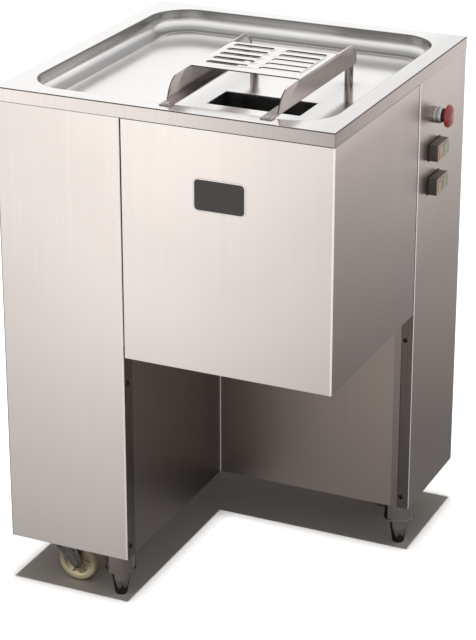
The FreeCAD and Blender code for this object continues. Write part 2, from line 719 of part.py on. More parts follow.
def make_left_panel():
    """Left side panel with its return at the back."""
    start = "front_return + return_joint"
    panel = body("left_side_panel", ("panel_left", "panel_front + " + start, "under_gap"))
    deep = "(cabinet_depth - 2 * panel_inset - front_return - return_joint)"
    profile = sketch(panel, "bent_profile", "XY_Plane")
    outline(profile, [
        ("0", "0"), ("panel_sheet", "0"), ("panel_sheet", deep + " - panel_sheet"),
        ("side_return", deep + " - panel_sheet"), ("side_return", deep), ("0", deep)])
    pad(panel, profile, "panel_tall")
    far = V.cabinet_depth - 2 * V.panel_inset - V.front_return - V.return_joint
    round_edges(panel, "bend_radius", stands_at((0, far)))


def make_column_wall():
    """Wall between the left column and the bay, with the two shaft holes."""
    start = "(strip_width + return_joint)"
    panel = body("column_side_panel", ("column_frame", "panel_front + " + start, "under_gap"))
    profile = rectangle(sketch(panel, "wall_profile", "XY_Plane"), "0", "0",
                        "panel_sheet", "bay_face - panel_front - " + start)
    pad(panel, profile, "inner_tall")
    holes = sketch(panel, "shaft_holes", "YZ_Plane", "panel_sheet + overcut")
    for name in ("front_shaft_y", "rear_shaft_y"):
        ring(holes, "%s - panel_front - %s" % (name, start), "shaft_level - under_gap", "shaft_hole_radius")
    pocket(panel, holes, "panel_sheet + 2 * overcut")


def make_bay_back():
    """Back wall of the bay, with a stepped edge beside the right panel's flange."""
    panel = body("bay_back_panel", ("column_face", "bay_face", "under_gap"))
    wide = "(panel_right - side_return - return_joint - column_face)"
    step = wide + " - joggle_width"
    profile = sketch(panel, "stepped_profile", "XY_Plane")
    outline(profile, [
        ("0", "0"), (step, "0"), (step, "-joggle_step"), (wide, "-joggle_step"),
        (wide, "panel_sheet"), ("0", "panel_sheet")])
    pad(panel, profile, "inner_tall")


def make_right_panel():
    """Right side panel of the rear column with returns at the bay and the back, and the control holes."""
    panel = body("right_side_panel", ("panel_right", "bay_face", "under_gap"))
    deep = "(panel_back - bay_face)"
    profile = sketch(panel, "bent_profile", "XY_Plane")
    outline(profile, [
        ("-side_return", "0"), ("0", "0"), ("0", deep), ("-side_return", deep),
        ("-side_return", deep + " - panel_sheet"), ("-panel_sheet", deep + " - panel_sheet"),
        ("-panel_sheet", "panel_sheet"), ("-side_return", "panel_sheet")])
    pad(panel, profile, "panel_tall")
    round_edges(panel, "bend_radius", stands_at((0, 0), (0, V.panel_back - V.bay_face)))
    holes = sketch(panel, "control_holes", "YZ_Plane", "overcut")
    ring(holes, "estop_y - bay_face", "estop_level - under_gap", "neck_radius + control_gap")
    for level in ("switch_upper_level", "switch_lower_level"):
        low = level + " - under_gap"
        rectangle(holes, "switch_y + 2 * button_wall - bay_face", low + " + 2 * button_wall",
                  "switch_y + switch_width - 2 * button_wall - bay_face",
                  low + " + switch_height - 2 * button_wall")
    pocket(panel, holes, "panel_sheet + 2 * overcut")


def make_rear_panel():
    """Rear panel with two blocks of air slots."""
    start = "(side_return + return_joint)"
    panel = body("rear_panel", ("panel_left + " + start, "panel_back - panel_sheet", "under_gap"))
    wide = "(panel_right - panel_left - 2 * %s)" % start
    profile = rectangle(sketch(panel, "sheet_profile", "XY_Plane"), "0", "0", wide, "panel_sheet")
    pad(panel, profile, "panel_tall")
    for name, level in (("low_slots", "louvre_low"), ("high_slots", "panel_tall - louvre_high")):
        slot = sketch(panel, name, "XZ_Plane", "overcut")
        rectangle(slot, wide + " / 2 - louvre_length / 2", level,
                  wide + " / 2 + louvre_length / 2", level + " + louvre_width")
        first = pocket(panel, slot, "panel_sheet + 2 * overcut")
        row_of(panel, first, slot, "V_Axis", "louvre_pitch", "louvre_count")


def make_base_plate():
    """L-shaped plate under both columns, with the hole for the cable gland."""
    plate = body("base_plate", ("frame_left", "frame_front", "under_gap"))
    wide = "frame_right - frame_left"
    deep = "frame_back - frame_front"
    column = "column_frame - frame_left"
    bay = "bay_frame - frame_front"
    profile = sketch(plate, "plate_outline", "XY_Plane")
    outline(profile, [("0", "0"), (column, "0"), (column, bay), (wide, bay), (wide, deep), ("0", deep)])
    pad(plate, profile, "base_sheet")
    round_edges(plate, "bend_radius", stands_at((0, 0), (V.column_frame - V.frame_left, 0)))
    hole = sketch(plate, "gland_hole", "XY_Plane", "base_sheet")
    ring(hole, "gland_x - frame_left", "gland_y - frame_front", "gland_radius + fit_gap")
    pocket(plate, hole, "base_sheet + overcut")


def make_frame():
    """Welded frame of square tube: lower and upper rails, uprights and the rails that carry the tray."""
    side = "tube_side"
    wide = "frame_right - frame_left"
    deep = "frame_back - frame_front"
    column_post = "column_frame - tube_side"
    back_post = "frame_back - tube_side"
    right_post = "frame_right - tube_side"
    tall = "ring_low - base_top"
    uprights = [
        ("frame_left", "frame_front", tall), (column_post, "frame_front", tall),
        ("frame_left", back_post, tall), (column_post, back_post, tall), (right_post, back_post, tall),
        (right_post, "bay_frame", tall), (column_post, "bay_frame", "cross_low - base_top")]
    bars = [box("upright", (x, y, "base_top"), (side, side, length)) for x, y, length in uprights]
    rails = [
        ("frame_left", "frame_front", "base_top", "column_frame - frame_left", side),
        ("frame_left", "frame_front", "base_top", side, deep),
        ("frame_left", back_post, "base_top", wide, side),
        (right_post, "bay_frame", "base_top", side, "frame_back - bay_frame"),
        (column_post, "bay_frame", "base_top", "frame_right - (%s)" % column_post, side),
        (column_post, "frame_front", "base_top", side, "bay_frame - frame_front"),
        ("frame_left", "frame_front", "ring_low", wide, side),
        ("frame_left", back_post, "ring_low", wide, side),
        ("frame_left", "frame_front", "ring_low", side, deep),
        (right_post, "frame_front", "ring_low", side, deep),
        (column_post, "frame_front + tube_side", "cross_low", side, deep + " - 2 * tube_side"),
        (column_post, "bay_frame", "cross_low", "frame_right - (%s)" % column_post, side)]
    for x, y, z, length, width in rails:
        bars.append(box("rail", (x, y, z), (length, width, side)))
    welded = fuse("welded_bars", bars)
    corners = stands_at((V.frame_left, V.frame_front), (V.column_frame, V.frame_front))
    keep(rounded("main_frame", welded, V.bend_radius, corners), "main_frame")


# Hood door

def make_door():
    """Bent hood door: front and right side in one sheet, hems all round and two hinge lugs."""
    door = body("hood_door", ("door_left", "panel_front", "hood_lower_edge"))
    profile = sketch(door, "bent_profile", "XY_Plane")
    closing = "door_deep - panel_sheet"
    outline(profile, [
        ("0", "0"), ("door_wide", "0"), ("door_wide", "door_deep"),
        ("door_wide - door_stop_hem", "door_deep"), ("door_wide - door_stop_hem", closing),
        ("door_wide - panel_sheet", closing), ("door_wide - panel_sheet", "panel_sheet"),
        ("0", "panel_sheet")])
    pad(door, profile, "door_tall")
    round_edges(door, "bend_radius", stands_at((V.door_wide, 0), (V.door_wide, V.door_deep)))
    round_edges(door, "bend_radius - panel_sheet",
                stands_at((V.door_wide - V.panel_sheet, V.panel_sheet)))
    side = "door_wide - panel_sheet"
    for name, level in (("low_hem", "0"), ("high_hem", "door_tall - panel_sheet")):
        hem = sketch(door, name, "XY_Plane", level)
        outline(hem, [
            ("0", "panel_sheet"), (side, "panel_sheet"), (side, closing), (side + " - door_hem", closing),
            (side + " - door_hem", "panel_sheet + door_hem"), ("0", "panel_sheet + door_hem")])
        pad(door, hem, "panel_sheet")
    for name, level in (("low_lug", "low_lug"), ("high_lug", "high_lug")):
        height = level + " - hood_lower_edge"
        lug = sketch(door, name, "XY_Plane", height)
        rectangle(lug, "hinge_setback", "panel_sheet", "lug_length", "hinge_inset + lug_radius")
        pad(door, lug, "hinge_plate")
        eye = sketch(door, name + "_eye", "XY_Plane", height)
        outline(eye, [
            ("0", "panel_sheet"), ("hinge_setback", "panel_sheet"),
            ("hinge_setback", "hinge_inset + lug_radius"), ("0", "hinge_inset + hinge_pin")])
        pad(door, eye, "hinge_plate")
        bore = sketch(door, name + "_bore", "XY_Plane", height + " + hinge_plate + overcut")
        ring(bore, "hinge_setback", "hinge_inset", "hinge_pin + pin_play")
        pocket(door, bore, "hinge_plate + 2 * overcut")


def make_hinge_brackets():
    """Two swan-neck brackets on the column wall, each with its pin."""
    tongue = V.hinge_pin
    reach = V.hinge_inset + V.hinge_pin
    solids = []
    for lug, above in ((V.low_lug, False), (V.high_lug, True)):
        if above:
            level = lug + V.hinge_plate + V.hinge_play
            pin_low = lug - V.hinge_play
        else:
            level = lug - V.hinge_play - V.hinge_plate
            pin_low = level + V.hinge_plate
        pin_tall = V.hinge_plate + 2 * V.hinge_play
        arm = Part.makeBox(V.hinge_x + tongue - V.column_face, 2 * reach, V.hinge_plate,
                           Vector(V.column_face, V.hinge_y + reach, level))
        neck = Part.makeBox(2 * tongue, 2 * reach, V.hinge_plate,
                            Vector(V.hinge_x - tongue, V.hinge_y, level))
        tip = Part.makeCylinder(tongue, V.hinge_plate, Vector(V.hinge_x, V.hinge_y, level))
        pin = Part.makeCylinder(V.hinge_pin, pin_tall, Vector(V.hinge_x, V.hinge_y, pin_low))
        solids.append(arm.multiFuse([neck, tip, pin]).removeSplitter())
    keep_shape("door_hinge_brackets", Part.makeCompound(solids))


def make_catch():
    """Magnet catch on the bay's back wall and its strike plate on the door."""
    front_face = "bay_face - catch_depth"
    low = "catch_level - catch_height / 2"
    keep(box("magnet_catch", ("catch_left", front_face, low), ("catch_width", "catch_depth", "catch_height")),
         "magnet_catch")
    strike_back = front_face + " - catch_gap - strike_sheet"
    inner = "panel_right - panel_sheet"
    blade = box("strike_blade", ("catch_left", strike_back, low),
                (inner + " - catch_left", "strike_sheet", "catch_height"))
    foot = box("strike_foot", (inner + " - strike_sheet", strike_back + " - catch_width", low),
               ("strike_sheet", "catch_width + strike_sheet", "catch_height"))
    keep(fuse("door_strike", [blade, foot]), "door_strike")


# Guard over the feed hole

def make_guard():
    """Folded guard: two curved wings, a slotted grille between them and two foot flanges."""
    guard = body("guard_cover", ("guard_left", "front", "cabinet_height"))
    fold = "guard_rise - guard_bend - guard_sheet"
    bridge = sketch(guard, "folded_grille", "XZ_Plane", "-grille_front")
    outline(bridge, [
        ("0", fold), ("guard_sheet", fold), ("guard_sheet", "guard_rise - guard_sheet"),
        ("guard_width - guard_sheet", "guard_rise - guard_sheet"), ("guard_width - guard_sheet", fold),
        ("guard_width", fold), ("guard_width", "guard_rise"), ("0", "guard_rise")])
    pad(guard, bridge, "grille_back - grille_front", reverse=True)
    round_edges(guard, "guard_bend", runs_along(0, V.guard_width, V.guard_rise))
    round_edges(guard, "guard_bend - guard_sheet",
                runs_along(V.guard_sheet, V.guard_width - V.guard_sheet, V.guard_rise - V.guard_sheet))
    for name, place in (("left_wing", "0"), ("right_wing", "guard_width - guard_sheet")):
        wing = sketch(guard, name, "YZ_Plane", place)
        outline(wing, [
            ("guard_front", "0"), ("guard_back", "0"), ("guard_back - guard_slope / 4", "guard_rise"),
            ("grille_back", "guard_rise"), ("grille_back", fold), ("grille_front", fold),
            ("grille_front", "guard_rise"), ("guard_front + guard_slope", "guard_rise")])
        pad(guard, wing, "guard_sheet")
    round_edges(guard, "wing_front_radius", lambda edge: crosses_at(edge, V.guard_front + V.guard_slope))
    round_edges(guard, "wing_back_radius",
                lambda edge: crosses_at(edge, V.guard_back - V.guard_slope / 4))
    flanges = sketch(guard, "foot_flanges", "XY_Plane")
    rectangle(flanges, "0", "flange_front", "guard_flange", "guard_back")
    rectangle(flanges, "guard_width - guard_flange", "flange_front", "guard_width", "guard_back")
    pad(guard, flanges, "guard_sheet")
    slot = sketch(guard, "grille_slots", "XY_Plane", "guard_rise + overcut")
    for middle in ("guard_width / 2 - slot_spread", "guard_width / 2 + slot_spread"):
        long_slot(slot, middle, "slot_start", "slot_length", "slot_width")
    first = pocket(guard, slot, "guard_sheet + 2 * overcut")
    row_of(guard, first, slot, "V_Axis", "slot_pitch", "slot_count")


def runs_along(low_x, high_x, rise):
    """A test for edges of the guard that run from front to back at two places across it."""
    def wanted(edge):
        bounds = edge.BoundBox
        if bounds.YLength < V.guard_sheet or bounds.XLength > 0.01 or abs(bounds.ZMin - rise) > 0.01:
            return False
        return any(abs(bounds.XMin - x) < 0.01 for x in (low_x, high_x))
    return wanted


def crosses_at(edge, setback):
    """Tells whether an edge of the guard runs across it at its top, at a setback."""
    bounds = edge.BoundBox
    return (bounds.XLength > V.guard_sheet / 2 and abs(bounds.YMin - setback) < 0.01
            and abs(bounds.ZMin - V.guard_rise) < 0.01)


def make_guard_fixings():
    """Posts under the guard's back end and the screws that hold it."""
    posts = []
    screws = []
    for name, side in (("left", "-1"), ("right", "1")):
        middle = "feed_x + %s * (guard_width / 2 - guard_flange / 2)" % side
        posts.append(cylinder(name + "_post", (middle, "post_y", "well_floor"), "post_radius", "well_depth"))
        for y in ("front + stud_setback", "post_y"):
            screws.append(cylinder(name + "_stud", (middle, y, "cabinet_height + guard_sheet"),
                                   "stud_radius", "stud_head"))
    keep(group("guard_posts", posts), "guard_posts")
    keep(group("guard_screws", screws), "guard_screws")


# Cutter set

def tube_of(name, corner, sides, wall):
    """An upright rectangular duct, open at both ends."""
    x, y, z = corner
    length, width, height = sides
    outer = box(name + "_outer", corner, sides)
    inner = box(name + "_inner", (x + " + " + wall, y + " + " + wall, z + " - overcut"),
                (length + " - 2 * " + wall, width + " - 2 * " + wall, height + " + 2 * overcut"))
    return cut(name, outer, [inner])


def make_ducts():
    """Feed duct under the tray and the tapered outlet below the blades."""
    duct = tube_of("feed_chute", (
        "feed_x - chute_length / 2 - duct_sheet", "feed_y - chute_width / 2 - duct_sheet", "duct_end"),
        ("chute_length + 2 * duct_sheet", "chute_width + 2 * duct_sheet", "duct_drop"), "duct_sheet")
    keep(duct, "feed_chute")
    top = V.plate_low
    low = V.hood_lower_edge + V.door_hem
    wide = V.cutter_half + V.end_plate
    deep = V.end_plate_half
    shells = []
    for wall in (0, V.duct_sheet):
        upper = rectangle_wire(wide - wall, deep - wall, top)
        lower = rectangle_wire(V.outlet_length / 2 - wall, V.outlet_width / 2 - wall, low)
        shells.append(Part.makeLoft([upper, lower], True, True))
    keep_shape("outlet_chute", shells[0].cut(shells[1]))


def rectangle_wire(half_x, half_y, level):
    """A rectangle round the middle of the feed hole."""
    corners = [Vector(V.feed_x + x * half_x, V.feed_y + y * half_y, level)
               for x, y in ((-1, -1), (1, -1), (1, 1), (-1, 1), (-1, -1))]
    return Part.makePolygon(corners)


def make_end_plates():
    """The two plates that hang from the tray and carry the blade shafts in bushes."""
    plates = []
    bushes = []
    rods = []
    for name, x in (("left", "cutter_left - end_plate"), ("right", "cutter_right")):
        plate = box(name + "_plate", (x, "feed_y - end_plate_half", "plate_low"),
                    ("end_plate", "2 * end_plate_half", "plate_tall"))
        holes = [cylinder("hole", (x + " - overcut", y, "shaft_level"), "journal_radius + bush_wall",
                          "end_plate + 2 * overcut", along_x=True) for y in ("front_shaft_y", "rear_shaft_y")]
        plates.append(cut(name + "_end_plate", plate, holes))
        for y in ("front_shaft_y", "rear_shaft_y"):
            outer = cylinder("bush_outer", (x, y, "shaft_level"), "journal_radius + bush_wall - seat_gap",
                             "end_plate", along_x=True)
            inner = cylinder("bush_bore", (x + " - overcut", y, "shaft_level"), "journal_radius + pin_play",
                             "end_plate + 2 * overcut", along_x=True)
            bushes.append(cut("bush", outer, [inner]))
    for side in ("-1", "1"):
        for level in ("plate_low + 2 * rod_radius", "well_under - 2 * rod_radius"):
            y = "feed_y + %s * (end_plate_half - rod_edge)" % side
            rods.append(cylinder("rod", ("cutter_left", y, level), "rod_radius", "2 * cutter_half",
                                 along_x=True))
    keep(group("cutter_end_plates", plates), "cutter_end_plates")
    keep(group("blade_shaft_bushes", bushes), "blade_shaft_bushes")
    keep(group("tie_rods", rods), "tie_rods")


def hex_bar(across, length, x, y, z):
    """A hexagonal bar along X as a plain solid."""
    radius = across / math.sqrt(3)
    angles = [math.pi / 3 * turn for turn in range(7)]
    corners = [Vector(x, y + radius * math.sin(angle), z + radius * math.cos(angle)) for angle in angles]
    return Part.Face(Part.makePolygon(corners)).extrude(Vector(length, 0, 0))


def round_bar(radius, length, x, y, z):
    """A round bar along X as a plain solid."""
    return Part.makeCylinder(radius, length, Vector(x, y, z), Vector(1, 0, 0))


def blade_places(shift, count):
    """Left faces of the blades on one shaft."""
    return [V.feed_left + (index + shift) * V.blade_pitch - V.blade_sheet / 2 for index in range(count)]


def make_blade_shaft(name, y, starts):
    """One blade shaft with its drums, and the round blades between them."""
    z = V.shaft_level
    inside = V.cutter_left + V.end_play
    outside = V.cutter_right - V.end_play
    shaft = hex_bar(V.hex_across, outside - inside, inside, y, z)
    journal_start = V.coupling_end + V.end_play
    left_journal = round_bar(V.journal_radius, inside - journal_start, journal_start, y, z)
    right_journal = round_bar(V.journal_radius, V.end_plate + 2 * V.end_play, outside, y, z)
    tang = hex_bar(V.tang_across, V.tang_length, journal_start - V.tang_length, y, z)
    edges = [inside] + [place for start in starts for place in (start, start + V.blade_sheet)] + [outside]
    drums = [round_bar(V.spacer_radius, high - low, low, y, z) for low, high in zip(edges[::2], edges[1::2])]
    keep_shape(name + "_blade_shaft", shaft.multiFuse([left_journal, right_journal, tang] + drums))
    blades = []
    for start in starts:
        disc = round_bar(V.blade_radius, V.blade_sheet, start, y, z)
        bore = hex_bar(V.hex_across + 2 * V.fit_gap, V.blade_sheet + 2 * V.overcut, start - V.overcut, y, z)
        blades.append(disc.cut(bore))
    keep_shape(name + "_blades", Part.makeCompound(blades))


def make_comb(name, shaft_y, side, starts):
    """A comb whose fingers reach between the blades to strip them."""
    z = V.shaft_level
    bar_near = V.comb_bar_reach
    low = bar_near if side > 0 else -bar_near - V.comb_bar_depth
    bar = Part.makeBox(2 * V.cutter_half, V.comb_bar_depth, 2 * V.comb_bar_half,
                       Vector(V.cutter_left, shaft_y + low, z - V.comb_bar_half))
    fingers = []
    for start in starts:
        middle = start + V.blade_sheet / 2
        near = 0 if side > 0 else -bar_near
        finger = Part.makeBox(V.finger_sheet, bar_near, 2 * V.finger_half,
                              Vector(middle - V.finger_sheet / 2, shaft_y + near, z - V.finger_half))
        relief = round_bar(V.spacer_radius + V.comb_gap, V.finger_sheet + 2 * V.overcut,
                           middle - V.finger_sheet / 2 - V.overcut, shaft_y, z)
        fingers.append(finger.cut(relief))
    keep_shape(name, bar.multiFuse(fingers))


def make_cutters():
    """Both blade shafts, their blades set between one another, and the two combs."""
    count = int(V.blade_count)
    front_starts = blade_places(0.5, count)
    rear_starts = blade_places(1, count - 1)
    make_blade_shaft("front", V.front_shaft_y, front_starts)
    make_blade_shaft("rear", V.rear_shaft_y, rear_starts)
    make_comb("front_comb", V.front_shaft_y, -1, rear_starts)
    make_comb("rear_comb", V.rear_shaft_y, 1, front_starts[1:-1])


# Drive

def make_drive_shafts():
    """Drive shafts with their coupling sleeves, which take the blade shafts' hexagonal ends."""
    z = V.shaft_level
    for name, y, start in (("front_drive_shaft", V.front_shaft_y, V.pulley_left),
                           ("rear_drive_shaft", V.rear_shaft_y, V.gear_left)):
        bar = round_bar(V.drive_radius, V.coupling_start - start, start, y, z)
        sleeve = round_bar(V.coupling_radius, V.coupling_length, V.coupling_start, y, z)
        socket = hex_bar(V.tang_across + 2 * V.fit_gap, V.tang_length + 2 * V.overcut,
                         V.coupling_end - V.tang_length - V.overcut, y, z)
        keep_shape(name, bar.fuse(sleeve).cut(socket))


def make_bearing_housing():
    """Cast housing with its mounting plate, bored for four bearings, and the bearings."""
    z = V.shaft_level
    ys = (V.front_shaft_y, V.rear_shaft_y)
    middle = Part.makeBox(V.housing_length, V.shaft_distance, 2 * V.housing_radius,
                          Vector(V.housing_start, ys[0], z - V.housing_radius))
    ends = [round_bar(V.housing_radius, V.housing_length, V.housing_start, y, z) for y in ys]
    plate = Part.makeBox(V.flange_sheet, V.bay_frame + V.tube_side - V.frame_front, 2 * V.flange_half,
                         Vector(V.housing_end, V.frame_front, z - V.flange_half))
    casting = middle.multiFuse(ends + [plate])
    bore_length = V.housing_length + V.flange_sheet + 2 * V.overcut
    bores = [round_bar(V.bearing_radius - V.bearing_shoulder, bore_length, V.housing_start - V.overcut, y, z)
             for y in ys]
    seats = [round_bar(V.bearing_radius, V.bearing_width, x, y, z) for y in ys
             for x in (V.housing_start, V.housing_end + V.flange_sheet - V.bearing_width)]
    keep_shape("bearing_housing", casting.cut(bores + seats).removeSplitter())
    bearings = []
    for y in ys:
        for x in (V.housing_start, V.housing_end + V.flange_sheet - V.bearing_width):
            outer = round_bar(V.bearing_radius - V.seat_gap, V.bearing_width, x, y, z)
            bore = round_bar(V.drive_radius + V.pin_play, V.bearing_width + 2 * V.overcut,
                             x - V.overcut, y, z)
            bearings.append(outer.cut(bore))
    keep_shape("shaft_bearings", Part.makeCompound(bearings))


# Standard tooth form: pressure angle, and heights above and below the pitch circle in modules
PRESSURE_ANGLE = math.radians(20)
TOOTH_TIP = 0.95
TOOTH_ROOT = 1.2


def involute(angle):
    """Involute function of a pressure angle."""
    return math.tan(angle) - angle


def gear_outline(module, teeth, backlash):
    """Corners of a spur gear with involute flanks, one tooth pointing along the first axis."""
    pitch_radius = module * teeth / 2
    base_radius = pitch_radius * math.cos(PRESSURE_ANGLE)
    root_radius = pitch_radius - TOOTH_ROOT * module
    tip_radius = pitch_radius + TOOTH_TIP * module
    half_tooth = math.pi / (2 * teeth) - backlash / (2 * pitch_radius) + involute(PRESSURE_ANGLE)
    flank = []
    for radius in (base_radius, pitch_radius, (pitch_radius + tip_radius) / 2, tip_radius):
        flank.append((radius, half_tooth - involute(math.acos(base_radius / radius))))
    flank.insert(0, (root_radius, half_tooth))
    corners = []
    for tooth in range(teeth):
        middle = 2 * math.pi * tooth / teeth
        for radius, half in flank:
            corners.append((radius, middle - half))
        for radius, half in reversed(flank):
            corners.append((radius, middle + half))
    return [(radius * math.cos(angle), radius * math.sin(angle)) for radius, angle in corners]


def make_gears():
    """Pair of timing gears that turn the blade shafts against each other."""
    points = gear_outline(V.gear_module, int(V.gear_teeth), V.gear_backlash)
    for name, y in (("front_gear", V.front_shaft_y), ("rear_gear", V.rear_shaft_y)):
        corners = [Vector(V.gear_left, y + across, V.shaft_level + up) for across, up in points + points[:1]]
        teeth = Part.Face(Part.makePolygon(corners)).extrude(Vector(V.gear_width, 0, 0))
        hub = round_bar(V.coupling_radius, V.gear_hub_length, V.gear_left, y, V.shaft_level)
        bore = round_bar(V.drive_radius + V.seat_gap, V.gear_hub_length + 2 * V.overcut,
                         V.gear_left - V.overcut, y, V.shaft_level)
        keep_shape(name, teeth.fuse(hub).cut(bore).removeSplitter())


def pulley_profile(radius, bore):
    """Half section of a pulley with two belt grooves, as pairs of axial place and radius."""
    points = [(0, bore), (0, radius)]
    for side in (-0.5, 0.5):
        middle = V.pulley_width / 2 + side * V.groove_spread
        floor = radius - V.groove_depth
        points += [(middle - V.groove_top / 2, radius), (middle - V.groove_floor / 2, floor),
                   (middle + V.groove_floor / 2, floor), (middle + V.groove_top / 2, radius)]
    return points + [(V.pulley_width, radius), (V.pulley_width, bore)]


def turned(profile, x, y, z):
    """A solid of revolution round a line along X."""
    corners = [Vector(x + along, y, z + radius) for along, radius in profile + profile[:1]]
    face = Part.Face(Part.makePolygon(corners))
    return face.revolve(Vector(x, y, z), Vector(1, 0, 0), 360)


def make_pulleys():
    """Driven pulley with its hub, motor pulley and the two belts."""
    driven = turned(pulley_profile(V.pulley_radius, V.drive_radius + V.seat_gap),
                    V.pulley_left, V.front_shaft_y, V.shaft_level)
    hub_length = V.gear_left - V.pulley_left
    hub = round_bar(V.pulley_hub, hub_length, V.pulley_left, V.front_shaft_y, V.shaft_level)
    bore = round_bar(V.drive_radius + V.seat_gap, hub_length + 2 * V.overcut, V.pulley_left - V.overcut,
                     V.front_shaft_y, V.shaft_level)
    keep_shape("driven_pulley", driven.fuse(hub).cut(bore).removeSplitter())
    keep_shape("motor_pulley", turned(
        pulley_profile(V.motor_pulley_radius, V.motor_shaft_radius + V.seat_gap),
        V.pulley_left, V.motor_y, V.motor_level))
    belts = []
    for side in (-0.5, 0.5):
        middle = V.pulley_middle + side * V.groove_spread
        outer = belt_face(middle, V.belt_gap)
        inner = belt_face(middle, V.belt_gap + V.belt_height)
        slope = (V.groove_top - V.groove_floor) / 2 / V.groove_depth
        half = V.groove_floor / 2 + slope * (V.groove_depth - V.belt_gap - V.belt_height) - V.belt_gap
        ring_face = outer.cut(inner)
        ring_face.translate(Vector(-half, 0, 0))
        belts.append(ring_face.extrude(Vector(2 * half, 0, 0)))
    keep_shape("drive_belts", Part.makeCompound(belts))


def belt_face(x, inset):
    """Area inside a belt line that runs round both pulleys, a given depth below their rims."""
    big = V.pulley_radius - inset
    small = V.motor_pulley_radius - inset
    upper = Vector(x, V.front_shaft_y, V.shaft_level)
    lower = Vector(x, V.motor_y, V.motor_level)
    line = lower - upper
    lean = math.acos((big - small) / line.Length)
    heading = math.atan2(line.z, line.y)
    spots = []
    for centre, radius, middle in ((upper, big, heading + math.pi), (lower, small, heading)):
        half = math.pi - lean if centre is upper else lean
        for turn in (-half, 0, half):
            angle = middle + turn
            spots.append(centre + Vector(0, radius * math.cos(angle), radius * math.sin(angle)))
    edges = [Part.Arc(*spots[:3]).toShape(), Part.makeLine(spots[2], spots[3]),
             Part.Arc(*spots[3:]).toShape(), Part.makeLine(spots[5], spots[0])]
    return Part.Face(Part.Wire(edges))


# One cooling fin and the gap before it: share of the pitch, and whether the corner is at the fin's tip
FIN_CORNERS = ((0.1, False), (0.4, False), (0.5, True), (0.9, True), (1.0, False))


def finned_bar(x, y, z):
    """Motor housing between its end shields, with cooling fins along it."""
    root = V.motor_radius - V.fin_depth
    step = 2 * math.pi / V.fin_count
    corners = []
    for index in range(int(V.fin_count)):
        for share, at_tip in FIN_CORNERS:
            radius = V.motor_radius if at_tip else root
            angle = (index + share) * step
            corners.append(Vector(x, y + radius * math.cos(angle), z + radius * math.sin(angle)))
    return Part.Face(Part.makePolygon(corners + corners[:1])).extrude(Vector(V.motor_length, 0, 0))


def terminal_box(x, y, z):
    """Terminal box on top of the motor and its lid."""
    middle = x + V.motor_length / 2
    root = z + V.motor_radius - 2 * V.fin_depth
    lid_low = z + V.motor_radius + V.terminal_rise - V.terminal_lid
    blocks = []
    for grow, low, high in ((0, root, lid_low), (V.terminal_lid / 2, lid_low, lid_low + V.terminal_lid)):
        long, wide = V.terminal_length + 2 * grow, V.terminal_width + 2 * grow
        block = Part.makeBox(long, wide, high - low, Vector(middle - long / 2, y - wide / 2, low))
        blocks.append(block.makeFillet(V.terminal_round, [edge for edge in block.Edges if is_upright(edge)]))
    return blocks


def make_motor():
    """Finned motor with its end shields, foot, mounting plate and shaft."""
    x, y, z = V.motor_left, V.motor_y, V.motor_level
    shield = V.motor_length / 10
    shields = [round_bar(V.motor_radius + 1, shield, start, y, z)
               for start in (x, x + V.motor_length - shield)]
    foot_low = V.mount_level + V.mount_sheet
    foot = Part.makeBox(V.motor_foot_length, 2 * V.motor_foot_half, V.motor_level - foot_low,
                        Vector(V.column_frame + 2 * V.mount_sheet, y - V.motor_foot_half, foot_low))
    bore = round_bar(V.motor_shaft_radius + V.pin_play, V.motor_length / 2, x - V.overcut, y, z)
    motor = finned_bar(x, y, z).multiFuse(shields + [foot] + terminal_box(x, y, z)).cut(bore)
    keep_shape("motor_body", motor.removeSplitter())
    keep_shape("motor_shaft", round_bar(V.motor_shaft_radius, x - V.pulley_left + V.motor_length / 3,
                                        V.pulley_left, y, z))
    keep(box("motor_mount", ("column_frame + mount_sheet", "bay_frame", "mount_level"),
             ("motor_foot_length + 2 * mount_sheet", "frame_back - bay_frame", "mount_sheet")),
         "motor_mount")


def runs_deep(edge):
    """Tells whether an edge of a block runs from front to back."""
    return edge.BoundBox.YLength > V.overcut


def make_starter_box():
    """Moulded box of the motor starter on the back of the bay's wall, with a lid that laps its sides."""
    shell_depth = "starter_depth - starter_lid"
    block = box("starter_block", ("starter_left", "bay_frame", "starter_level"),
                ("starter_width", shell_depth, "starter_height"))
    room = box("starter_room", ("starter_left + starter_wall", "bay_frame + starter_wall",
                                "starter_level + starter_wall"),
               ("starter_width - 2 * starter_wall", "starter_depth", "starter_height - 2 * starter_wall"))
    shell = cut("starter_shell", rounded("starter_case", block, V.starter_round, runs_deep), [room])
    lid = box("starter_lid_block", ("starter_left - starter_lap", "bay_frame + " + shell_depth,
                                    "starter_level - starter_lap"),
              ("starter_width + 2 * starter_lap", "starter_lid", "starter_height + 2 * starter_lap"))
    cover = rounded("starter_cover", lid, V.starter_round, runs_deep)
    keep(group("starter_box", [shell, cover]), "starter_box")


# Controls

